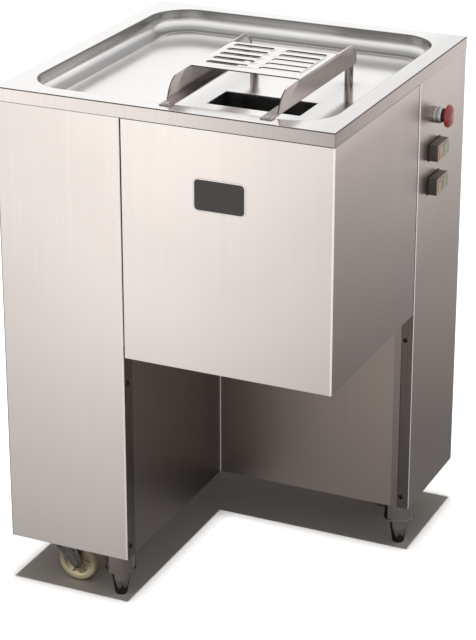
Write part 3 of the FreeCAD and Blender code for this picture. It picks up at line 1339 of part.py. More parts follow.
def make_emergency_stop():
    """Latching mushroom button: fixed collar, sliding stem and the head that turns to release it."""
    y, z = "estop_y", "estop_level"
    collar = body("estop_collar", ("right - panel_inset", y, z))
    section = sketch(collar, "collar_section", "XZ_Plane")
    outline(section, [
        ("-neck_length", "stem_radius + pin_play"), ("collar_length + panel_inset", "stem_radius + pin_play"),
        ("collar_length + panel_inset", "collar_radius - collar_edge"),
        ("collar_length + panel_inset - collar_edge", "collar_radius"),
        ("0", "collar_radius"), ("0", "neck_radius"), ("-panel_sheet", "neck_radius"),
        ("-panel_sheet", "collar_radius"), ("-neck_length / 2", "collar_radius"),
        ("-neck_length / 2", "neck_radius"), ("-neck_length", "neck_radius")])
    revolve(collar, section, "H_Axis")
    keep(cylinder("estop_stem", ("panel_right - neck_length", y, z), "stem_radius",
                  "head_start + head_edge - (panel_right - neck_length)", along_x=True), "estop_stem")
    head = body("estop_head", ("head_start", y, z))
    section = sketch(head, "head_section", "XZ_Plane")
    bore = "stem_radius + pin_play"
    outline(section, [
        ("0", bore), ("0", "head_hub"), ("head_edge / 3", "head_hub"),
        ("head_edge / 2", "head_radius - head_lip"),
        ("head_edge", "head_radius"), ("head_tall", "head_radius"), ("head_tall", "0"),
        ("head_edge + pin_play", "0"), ("head_edge + pin_play", bore)])
    revolve(head, section, "H_Axis")
    round_edges(head, "head_tall - head_edge - pin_play",
                lambda edge: edge.BoundBox.XMin > V.head_tall - 0.01)


def make_switches():
    """Two switch boxes, each with a start and a stop button that slide in it."""
    boxes = []
    first = "button_wall + button_gap"
    second = "2 * button_wall + 3 * button_gap + button_wide"
    for name, level in (("upper", "switch_upper_level"), ("lower", "switch_lower_level")):
        base = ("right - panel_inset", "switch_y", level)
        block = box(name + "_block", base, ("switch_reach + panel_inset", "switch_width", "switch_height"))
        wells = []
        for action, shift in (("stop", first), ("start", second)):
            wells.append(box("well", ("right - 2 * panel_inset", "switch_y + %s - button_gap" % shift,
                                      level + " + button_wall"),
                             ("switch_reach + 4 * panel_inset", "button_wide + 2 * button_gap",
                              "switch_height - 2 * button_wall")))
            corner = ("right - panel_inset + button_floor", "switch_y + " + shift,
                      level + " + button_wall + button_gap")
            button = box(name + "_" + action, corner, (
                "switch_reach + panel_inset + button_proud - button_floor", "button_wide", "button_side"))
            keep(button, "%s_%s_button" % (name, action))
        boxes.append(cut(name + "_box", block, wells))
    keep(group("switch_boxes", boxes), "switch_boxes")


# Feet and casters

def make_feet():
    """Two height-adjustable feet in sockets under the base plate."""
    sockets = []
    for name in ("front_foot", "right_foot"):
        x, y = name + "_x", name + "_y"
        cup = cylinder("cup", (x, y, "socket_low"), "socket_radius", "socket_length")
        lip = cylinder("lip", (x, y, "socket_low"), "socket_lip", "lip_height")
        bore = cylinder("bore", (x, y, "socket_low - overcut"), "foot_radius + 2 * pin_play",
                        "socket_length - socket_roof + overcut")
        sockets.append(cut("socket", fuse("cup_and_lip", [cup, lip]), [bore]))
        foot = body(name, (x, y, "0"))
        section = sketch(foot, "foot_section", "XZ_Plane")
        outline(section, [
            ("0", "0"), ("foot_tip - foot_edge", "0"), ("foot_tip", "foot_edge"),
            ("foot_radius", "foot_taper"), ("foot_radius", "foot_top"), ("0", "foot_top")])
        revolve(foot, section, "V_Axis")
    keep(group("foot_sockets", sockets), "foot_sockets")


CASTERS = [
    ("front_left", "left_caster_x", "front_caster_y"),
    ("rear_left", "left_caster_x", "rear_caster_y"),
    ("rear_right", "right_caster_x", "rear_caster_y"),
]


def make_casters():
    """Three swivel casters: fixed plates with swivel pins, forks with axles, and wheels."""
    plates = []
    for name, x, y in CASTERS:
        plate = box("plate", (x + " - caster_plate_half", y + " - caster_plate_side",
                              "under_gap - fork_sheet"),
                    ("2 * caster_plate_half", "2 * caster_plate_side", "fork_sheet"))
        pin = cylinder("kingpin", (x, y, "fork_crown - crown_gap"), "kingpin_radius",
                       "under_gap - fork_crown + crown_gap")
        head = cylinder("kingpin_head", (x, y, "fork_crown - crown_gap - fork_sheet"), "kingpin_head",
                        "fork_sheet")
        plates.append(fuse("caster_plate", [plate, pin, head]))
        make_fork(name + "_fork", getattr(V, x), getattr(V, y))
        make_wheel(name + "_wheel", x + " + caster_trail", y)
    keep(group("caster_plates", plates), "caster_plates")


# Where the slanting edge of a fork leg meets the round end at the axle
FORK_LEAN = math.radians(27)


def make_fork(name, x, y):
    """Folded fork: crown with the swivel hole, two slanting legs, the axle and the bolt heads."""
    inside = V.fork_inside / 2
    outside = inside + V.fork_sheet
    crown = Part.makeBox(2 * V.fork_half, 2 * outside, V.fork_sheet,
                         Vector(x - V.fork_half, y - outside, V.fork_crown))
    hole = Part.makeCylinder(V.kingpin_radius + 2 * V.pin_play, V.fork_sheet + 2 * V.overcut,
                             Vector(x, y, V.fork_crown - V.overcut))
    axle_x = x + V.caster_trail
    axle_z = V.wheel_radius
    corners = [(x - V.fork_half, V.fork_top), (x - V.fork_half, V.fork_crown - V.fork_sheet),
               (axle_x - V.fork_boss * math.cos(FORK_LEAN), axle_z - V.fork_boss * math.sin(FORK_LEAN)),
               (axle_x + V.fork_boss, axle_z), (axle_x + V.fork_boss, axle_z + V.fork_boss),
               (x + V.fork_half, V.fork_top)]
    solids = [crown.cut(hole)]
    for low in (y - outside, y + inside):
        face = Part.Face(Part.makePolygon([Vector(a, low, b) for a, b in corners + corners[:1]]))
        leg = face.extrude(Vector(0, V.fork_sheet, 0))
        boss = Part.makeCylinder(V.fork_boss, V.fork_sheet, Vector(axle_x, low, axle_z), Vector(0, 1, 0))
        solids += [leg, boss]
    proud = V.fork_bolt_head
    solids.append(Part.makeCylinder(V.axle_radius, 2 * (outside + proud),
                                    Vector(axle_x, y - outside - proud, axle_z), Vector(0, 1, 0)))
    for low in (y - outside - proud, y + outside):
        place = Vector(x + V.fork_bolt_offset, low, axle_z + V.fork_bolt_rise)
        solids.append(Part.makeCylinder(V.fork_bolt, proud, place, Vector(0, 1, 0)))
    keep_shape(name, solids[0].multiFuse(solids[1:]).removeSplitter())


def make_wheel(name, x, y):
    """Moulded wheel with a rounded tread, a recessed web and a hub."""
    wheel = body(name, (x, y, "wheel_radius"))
    section = sketch(wheel, "wheel_section", "YZ_Plane")
    edge = "wheel_width / 2"
    bore = "axle_radius + pin_play"
    web = "wheel_web / 2"
    outline(section, [
        ("-" + edge, bore), ("-" + edge, "wheel_hub"), ("-" + web, "wheel_hub + web_slope"),
        ("-" + web, "wheel_rim - web_slope"), ("-" + edge, "wheel_rim"),
        ("-" + edge, "wheel_radius - wheel_round"),
        ("-wheel_width / 2 + wheel_round / 3", "wheel_radius - wheel_round / 3"),
        ("-wheel_width / 2 + wheel_round", "wheel_radius"),
        ("wheel_width / 2 - wheel_round", "wheel_radius"),
        ("wheel_width / 2 - wheel_round / 3", "wheel_radius - wheel_round / 3"),
        (edge, "wheel_radius - wheel_round"), (edge, "wheel_rim"),
        (web, "wheel_rim - web_slope"), (web, "wheel_hub + web_slope"), (edge, "wheel_hub"), (edge, bore)])
    revolve(wheel, section, "H_Axis")


# Small parts

def make_gland():
    """Cable gland in the base plate under the rear column."""
    x, y = "gland_x", "gland_y"
    low = "under_gap - gland_length"
    neck = cylinder("gland_neck", (x, y, low), "gland_radius", "gland_length + base_sheet")
    nut = hexagon("gland_nut", (x, y, "under_gap - gland_collar"), "gland_hex", "gland_collar")
    bore = cylinder("gland_bore_tool", (x, y, low + " - overcut"), "gland_bore",
                    "gland_length + base_sheet + 2 * overcut")
    keep(cut("cable_gland", fuse("gland_body", [neck, nut]), [bore]), "cable_gland")


def make_panel_screws():
    """Heads of the screws that hold the panels to the frame."""
    heads = []
    for level in ("under_gap + low_screw", "hood_lower_edge - high_screw"):
        item = cylinder("bay_side_screw", ("column_face", "front + strip_screw", level), "screw_radius",
                        "screw_head", along_x=True)
        heads.append(item)
        item = DOC.addObject("Part::Cylinder", "bay_back_screw")
        item.Placement = Placement(Vector(), Rotation(Vector(1, 0, 0), 90))
        bind(item, "Radius", "screw_radius")
        bind(item, "Height", "screw_head")
        locate(item, ("right - flange_screw", "bay_face", level))
        heads.append(item)
    keep(group("panel_screws", heads), "panel_screws")


def make_all():
    """Builds every sub-part."""
    make_tray()
    make_front_panel()
    make_left_panel()
    make_column_wall()
    make_bay_back()
    make_right_panel()
    make_rear_panel()
    make_base_plate()
    make_frame()
    make_door()
    make_hinge_brackets()
    make_catch()
    make_guard()
    make_guard_fixings()
    make_ducts()
    make_end_plates()
    make_cutters()
    make_drive_shafts()
    make_bearing_housing()
    make_gears()
    make_pulleys()
    make_motor()
    make_starter_box()
    make_emergency_stop()
    make_switches()
    make_feet()
    make_casters()
    make_gland()
    make_panel_screws()


def check_and_write():
    """Checks every object and every sub-part, then writes one STEP file for each sub-part."""
    DOC.recompute()
    failed = [item.Name for item in DOC.Objects if "Invalid" in item.State or "Error" in item.State]
    for item in SUB_PARTS:
        if item.Shape.isNull() or not item.Shape.isValid() or not item.Shape.Solids:
            failed.append(item.Label)
    if failed:
        raise ValueError("failed: " + ", ".join(failed))
    os.makedirs("parts", exist_ok=True)
    for item in SUB_PARTS:
        item.Shape.exportStep(os.path.join("parts", item.Label + ".step"))
        bounds = item.Shape.BoundBox
        print("%-22s solids %2d  x %7.1f %7.1f  y %7.1f %7.1f  z %6.1f %6.1f" % (
            item.Label, len(item.Shape.Solids), bounds.XMin, bounds.XMax, bounds.YMin, bounds.YMax,
            bounds.ZMin, bounds.ZMax))


make_all()
check_and_write()
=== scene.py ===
"""Dresses the solids of a floor-standing meat slicer: steel finishes, controls, casters and a small studio."""

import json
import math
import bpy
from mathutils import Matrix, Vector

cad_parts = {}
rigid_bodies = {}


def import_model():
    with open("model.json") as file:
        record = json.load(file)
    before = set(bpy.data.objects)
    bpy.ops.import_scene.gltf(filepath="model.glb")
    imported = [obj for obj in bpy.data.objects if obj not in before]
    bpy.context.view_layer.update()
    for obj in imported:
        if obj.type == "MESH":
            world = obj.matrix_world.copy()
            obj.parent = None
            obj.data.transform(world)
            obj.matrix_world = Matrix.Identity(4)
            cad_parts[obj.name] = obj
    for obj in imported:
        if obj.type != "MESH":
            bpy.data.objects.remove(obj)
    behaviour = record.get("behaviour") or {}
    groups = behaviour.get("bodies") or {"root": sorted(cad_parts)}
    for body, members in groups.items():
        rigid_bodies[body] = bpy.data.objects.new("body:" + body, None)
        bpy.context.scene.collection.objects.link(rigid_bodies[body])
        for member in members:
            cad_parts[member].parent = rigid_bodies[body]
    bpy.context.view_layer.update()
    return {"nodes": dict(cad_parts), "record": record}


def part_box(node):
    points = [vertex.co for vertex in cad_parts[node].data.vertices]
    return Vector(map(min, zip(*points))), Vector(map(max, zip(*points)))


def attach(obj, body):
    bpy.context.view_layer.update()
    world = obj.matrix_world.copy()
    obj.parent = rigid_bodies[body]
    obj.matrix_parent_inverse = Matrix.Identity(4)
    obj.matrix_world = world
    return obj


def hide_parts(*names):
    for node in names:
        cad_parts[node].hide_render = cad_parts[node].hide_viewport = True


bl_info = {
    "name": "Meat slicer with a drawn tray",
    "version": (1, 0, 0),
    "blender": (4, 5, 0),
    "location": "3D View > Sidebar > Slicer",
    "description": "Finishes and fittings of a floor-standing meat slicer, built round its solids",
    "category": "Add Mesh",
}

import bmesh
import bpy
from bpy.props import FloatProperty, FloatVectorProperty, PointerProperty
from mathutils import Matrix, Vector

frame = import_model()

MM = 0.001
X, Y, Z = Vector((1, 0, 0)), Vector((0, 1, 0)), Vector((0, 0, 1))
CASTERS = ("front_left", "rear_left", "rear_right")
BAY_WALLS = ("bay_back_panel", "column_side_panel")
SHEETS = (
    "tray_top",
    "guard_cover",
    "left_front_panel",
    "left_side_panel",
    "right_side_panel",
    "rear_panel",
    "hood_door",
    *BAY_WALLS,
)

# Pairs of a place in mm along one axis and the share of its colour that a sheet shows there
# Painted shade: the right-hand faces darker towards the bottom
SIDE_BANDS = ((82, 0.68), (520, 0.68), (700, 0.83), (880, 1.0))
# Painted shade: the hood's right-hand face darker towards the bottom
HOOD_BANDS = ((460, 0.58), (520, 0.6), (610, 0.64), (744, 0.75), (843, 0.83), (875, 1.0))
# Painted shade: the bay walls darker towards the inner corner
BAY_BANDS = ((-90, 0.58), (40, 0.95), (262, 1.0))
# Painted reflection and shade: the front sheets darker towards the ends, most towards the right
FRONT_BANDS = ((-316, 0.88), (-150, 0.97), (-60, 1.0), (20, 1.0), (283, 0.8))
# Painted reflection: the well's wall in dark and bright bands, dark under the rim and bright where the cove turns
WELL_BANDS = (
    (862.5, 0.9), (863.4, 0.55), (866, 0.36), (870, 0.42), (874, 0.8), (878, 0.98), (882, 0.62), (888, 0.42),
    (894, 0.34), (897.5, 0.3), (898.6, 0.1), (899.7, 0.3), (900, 0.8),
)

BARS = ("guard_posts", "foot_sockets", "front_foot", "right_foot")
FOOTPRINT = (*SHEETS[2:6], *BAY_WALLS, "base_plate", "gland_nut")
BUTTONS = ("upper_start", "upper_stop", "lower_start", "lower_stop")
SLOT_OF = {row["node"]: row["material_slot"] for row in frame["record"]["subparts"]}
TRAY_LOW, TRAY_HIGH = (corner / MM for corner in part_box("tray_top"))
GUARD_LOW, GUARD_HIGH = (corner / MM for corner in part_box("guard_cover"))
PHOTO_HEIGHT = 640


# Colours and nodes


def linear(code):
    """The linear colour of an sRGB hex code."""
    shares = [int(code[start : start + 2], 16) / 255 for start in (1, 3, 5)]
    return [s / 12.92 if s <= 0.04045 else ((s + 0.055) / 1.055) ** 2.4 for s in shares]


def add_node(tree, kind, settings=None, links=None):
    """Adds a node. Lower-case settings are its properties, the others its sockets; links feed its sockets."""
    node = tree.nodes.new("ShaderNode" + kind)
    for name, value in (settings or {}).items():
        if isinstance(name, str) and name.islower():
            setattr(node, name, value)
        else:
            node.inputs[name].default_value = value
    for name, source in (links or {}).items():
        tree.links.new(source, node.inputs[name])
    return node


def finish(
    name,
    dark,
    light,
    grain,
    relief=0.0,
    gloss=(0.3, 0.4),
    clouds=80.0,
    wave=0.0,
    edge=0.4,
    bands=(),
    across="Z",
    hollow=0.0,
    **shader,
):
    """One surface finish. grain is the pattern's size in mm along x, y and z, and relief its depth in mm.

    The colour runs from dark to light and the roughness over gloss with the grain and with broader clouds,
    whose size is clouds in mm. wave is the depth in mm by which a sheet bulges and dips over those clouds,
    and edge the radius in mm to which sharp edges look broken. bands are pairs of a place in mm along the
    across axis and the colour's share there: a painted shade and painted reflection along that axis. The
    last named argument is how far from a neighbour, in mm, a surface starts to darken with painted shade
    from ambient occlusion.
    """
    material = bpy.data.materials.new(name)
    material.use_nodes = True
    tree = material.node_tree
    tree.nodes.clear()
    place = add_node(tree, "TexCoord").outputs["Object"]
    stretched = add_node(tree, "Mapping", {"Scale": [1 / (g * MM) for g in grain]}, {"Vector": place})
    lines = add_node(
        tree, "TexNoise", {"Scale": 1.0, "Detail": 3.0, "Roughness": 0.6}, {"Vector": stretched.outputs[0]}
    )
    broad = add_node(tree, "TexNoise", {"Scale": 1 / (clouds * MM), "Detail": 2.0}, {"Vector": place})
    both = add_node(
        tree, "Math", {"operation": "ADD"}, {0: lines.outputs["Fac"], 1: broad.outputs["Fac"]}
    )
    # The sum of two noises seldom leaves 0.7 to 1.3
    tone = add_node(tree, "MapRange", {"From Min": 0.7, "From Max": 1.3}, {"Value": both.outputs[0]})
    colour = add_node(tree, "ValToRGB", links={"Fac": tone.outputs[0]})
    colour.color_ramp.elements[0].color = [*dark, 1]
    colour.color_ramp.elements[1].color = [*light, 1]
    shade = colour.outputs[0]
    # Painted shade and reflection: the colour is scaled by a ramp of shares along one axis
    if bands:
        first, last = bands[0][0], bands[-1][0]
        along = add_node(tree, "SeparateXYZ", links={"Vector": place}).outputs[across]
        level = add_node(tree, "MapRange", {"From Min": first * MM, "From Max": last * MM}, {"Value": along})
        ramp = add_node(tree, "ValToRGB", links={"Fac": level.outputs[0]})
        for _ in bands[2:]:
            ramp.color_ramp.elements.new(1.0)
        for stop, (spot, share) in zip(ramp.color_ramp.elements, bands):
            stop.position = (spot - first) / (last - first)
            stop.color = [share, share, share, 1]
        shade = add_node(
            tree, "VectorMath", {"operation": "MULTIPLY"}, {0: shade, 1: ramp.outputs[0]}
        ).outputs[0]
    # Painted shade: the colour darkens where ambient occlusion finds a neighbour near
    if hollow:
        near = add_node(tree, "AmbientOcclusion", {"samples": 6, "Distance": hollow * MM})
        painted_occlusion_shade = add_node(
            tree,
            "MapRange",
            {"From Min": 0.25, "From Max": 0.92, "To Min": 0.25, "To Max": 1.0},
            {"Value": near.outputs["AO"]},
        )
        shade = add_node(
            tree, "VectorMath", {"operation": "SCALE"}, {0: shade, "Scale": painted_occlusion_shade.outputs[0]}
        ).outputs[0]
    rough = add_node(
        tree, "MapRange", {"To Min": gloss[1], "To Max": gloss[0]}, {"Value": tone.outputs[0]}
    )
    broken = add_node(tree, "Bevel", {"samples": 4, "Radius": edge * MM})
    bulge = add_node(
        tree,
        "Bump",
        {"Strength": 1.0, "Distance": wave * MM},
        {"Height": broad.outputs["Fac"], "Normal": broken.outputs[0]},
    )
    scratch = add_node(
        tree,
        "Bump",
        {"Strength": 1.0, "Distance": relief * MM},
        {"Height": lines.outputs["Fac"], "Normal": bulge.outputs[0]},
    )
    principled = add_node(
        tree,
        "BsdfPrincipled",
        shader,
        {"Base Color": shade, "Roughness": rough.outputs[0], "Normal": scratch.outputs[0]},
    )
    add_node(tree, "OutputMaterial", links={"Surface": principled.outputs[0]})
    return material


def metal(name, dark, light, grain, **more):
    """A finish of bare metal."""
    return finish(name, dark, light, grain, **{"Metallic": 1.0, **more})


def brushed_sheet(name, colour, gloss=(0.28, 0.36), **more):
    """Belt-brushed stainless sheet: upright hairlines, drawn 2 mm wide to show, over a soft satin gloss."""
    return metal(
        name,
        colour * 0.93,
        colour,
        (2.0, 2.0, 500.0),
        relief=0.002,
        gloss=gloss,
        clouds=260.0,
        wave=0.2,
        edge=0.7,
        **more,
    )


# Meshes


def block(mesh, low, high, radius, steps=3, along=None):
    """Adds a box from low to high with rounded edges: all of them, or those that run along one axis."""
    before = set(mesh.faces)
    corners = bmesh.ops.create_cube(mesh, size=1.0)["verts"]
    bmesh.ops.scale(mesh, vec=high - low, verts=corners)
    bmesh.ops.translate(mesh, vec=(high + low) / 2, verts=corners)
    edges = {edge for corner in corners for edge in corner.link_edges}
    if along is not None:
        edges = {e for e in edges if abs((e.verts[1].co - e.verts[0].co).normalized().dot(along)) > 0.99}
    bmesh.ops.bevel(
        mesh, geom=list(edges), offset=radius, segments=steps, profile=0.5, affect="EDGES", material=-1
    )
    return [face for face in mesh.faces if face not in before]


def spun(mesh, outline, centre, axis, steps=48, soft=0.0):
    """Adds the shape that an outline of (radius, height) pairs in mm sweeps in one turn about an axis.

    soft rounds its corners to that radius in mm.
    """
    before = set(mesh.verts)
    corners = [mesh.verts.new((radius * MM, 0, height * MM)) for radius, height in outline]
    edges = [mesh.edges.new(pair) for pair in zip(corners, corners[1:])]
    bmesh.ops.spin(
        mesh,
        geom=corners + edges,
        cent=(0, 0, 0),
        axis=Z,
        angle=math.tau,
        steps=steps,
        use_merge=True,
    )
    made = [vert for vert in mesh.verts if vert not in before]
    turn = Z.rotation_difference(axis).to_matrix().to_4x4()
    bmesh.ops.transform(mesh, matrix=Matrix.Translation(centre) @ turn, verts=made)
    bmesh.ops.remove_doubles(mesh, verts=made, dist=0.001 * MM)
    made = [vert for vert in mesh.verts if vert not in before]
    if soft:
        soften(mesh, made, soft * MM)
    return made


def soften(mesh, verts, radius, steps=2, sharper=30):
    """Rounds those edges between the given vertices that turn by more than an angle in degrees."""
    own = set(verts)
    edges = {
        edge
        for vert in own
        for edge in vert.link_edges
        if edge.other_vert(vert) in own
        and edge.is_manifold
        and edge.calc_face_angle() > math.radians(sharper)
    }
    bmesh.ops.bevel(
        mesh, geom=list(edges), offset=radius, segments=steps, profile=0.5, affect="EDGES", material=-1
    )


def socket_screw(mesh, centre, axis, radius, height):
    """Adds a round screw head with a hexagonal socket, seated on centre."""
    before = set(mesh.verts)
    edge = bmesh.ops.create_circle(mesh, segments=24, radius=radius)["verts"]
    rings = {e for vert in edge for e in vert.link_edges}
    for share, rise in ((1.0, 0.5), (0.82, 0.4), (0.56, 0.1)):
        grown = bmesh.ops.extrude_edge_only(mesh, edges=list(rings))["geom"]
        ring = [item for item in grown if isinstance(item, bmesh.types.BMVert)]
        size = ring[0].co.xy.length
        bmesh.ops.scale(mesh, vec=(share * radius / size, share * radius / size, 1), verts=ring)
        bmesh.ops.translate(mesh, vec=Z * rise * height, verts=ring)
        rings = {item for item in grown if isinstance(item, bmesh.types.BMEdge) and item.is_boundary}
    socket = bmesh.ops.create_circle(mesh, segments=6, radius=0.5 * radius)["verts"]
    bmesh.ops.translate(mesh, vec=Z * height, verts=socket)
    sides = list({e for vert in socket for e in vert.link_edges})
    bmesh.ops.bridge_loops(mesh, edges=list(rings) + sides)
    grown = bmesh.ops.extrude_edge_only(mesh, edges=sides)["geom"]
    floor = [item for item in grown if isinstance(item, bmesh.types.BMVert)]
    bmesh.ops.translate(mesh, vec=-Z * 0.7 * height, verts=floor)
    rim = [item for item in grown if isinstance(item, bmesh.types.BMEdge) and item.is_boundary]
    # The socket floor takes the second material, which on the panel screws is a painted highlight
    for face in bmesh.ops.edgeloop_fill(mesh, edges=rim)["faces"]:
        face.material_index = 1
    made = [vert for vert in mesh.verts if vert not in before]
    turn = Z.rotation_difference(axis).to_matrix().to_4x4()
    bmesh.ops.transform(mesh, matrix=Matrix.Translation(centre) @ turn, verts=made)


def finish_piece(mesh, name, body, materials, replaces=(), crease=35):
    """Turns a bmesh into a piece that rides on a body and stands for the named solids."""
    bmesh.ops.remove_doubles(mesh, verts=mesh.verts, dist=0.001 * MM)
    bmesh.ops.recalc_face_normals(mesh, faces=mesh.faces)
    data = bpy.data.meshes.new(name)
    mesh.to_mesh(data)
    mesh.free()
    data.shade_smooth()
    data.set_sharp_from_angle(angle=math.radians(crease))
    piece = bpy.data.objects.new(name, data)
    bpy.context.scene.collection.objects.link(piece)
    for material in materials:
        data.materials.append(material)
    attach(piece, body)
    if replaces:
        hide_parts(*replaces)
    return piece


# What a user may change


class SlicerColours(bpy.types.PropertyGroup):
    """Colours of the finishes."""

    panel: FloatVectorProperty(
        name="Panel steel",
        description="Brushed sheet of the cabinet and the hood",
        subtype="COLOR",
        default=linear("#F4EDE9"),
    )
    # Darker than the panel steel: a painted shade on the right-hand faces
    shaded_side_panel: FloatVectorProperty(
        name="Side steel",
        description="Cross-brushed right-hand faces of the cabinet and the hood",
        subtype="COLOR",
        default=linear("#BAAFAA"),
    )
    # Darker than the panel steel: a painted shade on the walls round the bay
    shaded_bay_wall: FloatVectorProperty(
        name="Bay steel",
        description="Unpolished sheet of the walls round the bay",
        subtype="COLOR",
        default=linear("#B0A49D"),
    )
    tray: FloatVectorProperty(
        name="Tray steel",
        description="Polished sheet of the tray and the guard",
        subtype="COLOR",
        default=linear("#FAF8F6"),
    )
    emergency_red: FloatVectorProperty(
        name="Emergency red",
        description="Mushroom head of the emergency stop",
        subtype="COLOR",
        default=linear("#A62A24"),
    )
    plate: FloatVectorProperty(
        name="Plate enamel",
        description="Dark field of the plain plate on the hood",
        subtype="COLOR",
        default=linear("#1B1413"),
    )
    wheel: FloatVectorProperty(
        name="Caster nylon",
        description="Cream wheels of the casters",
        subtype="COLOR",
        default=linear("#B9AC90"),
    )


class SlicerSizes(bpy.types.PropertyGroup):
    """Sizes of the pieces that the solids don't hold."""

    slot_width: FloatProperty(
        name="Slot width",
        description="Width of the slots in the guard",
        unit="LENGTH",
        default=14 * MM,
    )
    plate_width: FloatProperty(
        name="Plate width",
        description="Width of the plain plate on the hood",
        unit="LENGTH",
        default=92 * MM,
    )
    plate_height: FloatProperty(
        name="Plate height",
        description="Height of the plain plate on the hood",
        unit="LENGTH",
        default=56 * MM,
    )


# Operators


class SLICER_OT_finishes(bpy.types.Operator):
    """Gives each solid the finish of its material"""

    bl_idname = "slicer.finishes"
    bl_label = "Finishes"

    def execute(self, context):
        colours = context.scene.slicer_colours
        tray = Vector(colours.tray)
        finishes = {
            # Painted reflection and shade: FRONT_BANDS darken the sheet towards the ends of the front, most to
            # the right
            "brushed_stainless": brushed_sheet(
                "brushed stainless sheet", Vector(colours.panel), bands=FRONT_BANDS, across="X"
            ),
            # Drawn and polished stainless: brighter than the panels, with faint long lines across the tray; a
            # painted shade darkens it towards the right-hand edge and near its neighbours
            "drawn_stainless": metal(
                "polished drawn stainless",
                tray * 0.97,
                tray,
                (260.0, 2.0, 2.0),
                relief=0.001,
                gloss=(0.12, 0.2),
                clouds=160.0,
                wave=0.05,
                bands=((200, 1.0), (262, 0.82)),
                across="X",
                hollow=60.0,
            ),
            # Mill-finish steel of the frame: grey and blotchy with a rolled grain
            "frame_steel": metal(
                "mill finish steel",
                linear("#6E6C6A"),
                linear("#A19E9B"),
                (30.0, 30.0, 6.0),
                relief=0.02,
                gloss=(0.38, 0.55),
                clouds=40.0,
            ),
            # Ground and polished blades: bright with a fine grinding grain
            "blade_steel": metal(
                "ground blade steel",
                linear("#B9BABC"),
                linear("#DFE0E2"),
                (40.0, 1.2, 12.0),
                relief=0.004,
                gloss=(0.12, 0.22),
            ),
            # Turned bright steel: fine tool marks and a clean gloss
            "machined_steel": metal(
                "turned bright steel",
                linear("#A5A4A4"),
                linear("#D2D1D0"),
                (6.0, 6.0, 1.0),
                relief=0.004,
                gloss=(0.16, 0.26),
            ),
            # Sand-cast aluminium: pale, dull and pebbled
            "cast_aluminium": metal(
                "sand cast aluminium",
                linear("#8F9194"),
                linear("#B4B6B8"),
                (1.4, 1.4, 1.4),
                relief=0.12,
                gloss=(0.42, 0.6),
            ),
            # Turned bronze: warm and slightly darkened
            "bronze": metal(
                "turned bronze",
                linear("#8A6A3A"),
                linear("#BF9653"),
                (5.0, 5.0, 1.0),
                relief=0.004,
                gloss=(0.22, 0.34),
            ),
            # Moulded rubber: near black with a chalky dullness
            "black_rubber": finish(
                "moulded rubber",
                linear("#161616"),
                linear("#2B2A29"),
                (1.5, 1.5, 1.5),
                relief=0.05,
                gloss=(0.6, 0.8),
            ),
            # Stoving enamel: smooth grey with a slight orange peel
            "grey_paint": finish(
                "grey stoving enamel",
                linear("#48535A"),
                linear("#5B676E"),
                (4.0, 4.0, 4.0),
                relief=0.05,
                gloss=(0.28, 0.38),
                **{"Coat Weight": 0.3},
            ),
            # Cast iron: dark with a coarse cast skin
            "cast_iron": metal(
                "cast iron",
                linear("#3D3D3E"),
                linear("#6B6B6C"),
                (1.6, 1.6, 1.6),
                relief=0.1,
                gloss=(0.4, 0.58),
            ),
            # Moulded gloss plastic: deep even red under a clear skin
            "red_plastic": finish(
                "gloss red moulding",
                Vector(colours.emergency_red) * 0.85,
                Vector(colours.emergency_red),
                (9.0, 9.0, 9.0),
                relief=0.01,
                gloss=(0.16, 0.24),
                **{"Coat Weight": 0.5, "Coat Roughness": 0.08, "IOR": 1.49},
            ),
            # Translucent moulding of the start buttons: milky pale green
            "green_plastic": finish(
                "milky green moulding",
                linear("#A3AE98"),
                linear("#BCC5AE"),
                (7.0, 7.0, 7.0),
                relief=0.01,
                gloss=(0.25, 0.35),
                **{"Subsurface Weight": 0.3, "Subsurface Scale": 2 * MM, "IOR": 1.49},
            ),
            # Translucent moulding of the stop buttons: milky pale red
            "pale_red_plastic": finish(
                "milky red moulding",
                linear("#BFA492"),
                linear("#D3B9A6"),
                (7.0, 7.0, 7.0),
                relief=0.01,
                gloss=(0.25, 0.35),
                **{"Subsurface Weight": 0.3, "Subsurface Scale": 2 * MM, "IOR": 1.49},
            ),
            # Moulded engineering plastic: brown-black, with a semi-gloss that pales where it is seen low
            "black_plastic": finish(
                "grained black moulding",
                linear("#4A433F"),
                linear("#655C57"),
                (0.9, 0.9, 0.9),
                relief=0.01,
                gloss=(0.16, 0.24),
                **{"IOR": 1.53},
            ),
            # Moulded nylon of the wheels: cream, waxy and slightly scuffed
            "cream_nylon": finish(
                "cream nylon moulding",
                Vector(colours.wheel) * 0.8,
                Vector(colours.wheel),
                (6.0, 6.0, 6.0),
                relief=0.05,
                gloss=(0.34, 0.5),
                clouds=18.0,
                **{"Subsurface Weight": 0.2, "Subsurface Scale": 3 * MM, "IOR": 1.53},
            ),
            # Moulded housing of the motor starter: light grey, eggshell gloss and a fine grain
            "grey_plastic": finish(
                "eggshell grey moulding",
                linear("#A9ABAD"),
                linear("#BCBEC0"),
                (1.0, 1.0, 1.0),
                relief=0.02,
                gloss=(0.4, 0.5),
            ),
            # Magnet catch: matt black moulding
            "magnet_black": finish(
                "matt black moulding",
                linear("#191919"),
                linear("#2A2A2A"),
                (1.1, 1.1, 1.1),
                relief=0.03,
                gloss=(0.5, 0.65),
            ),
        }
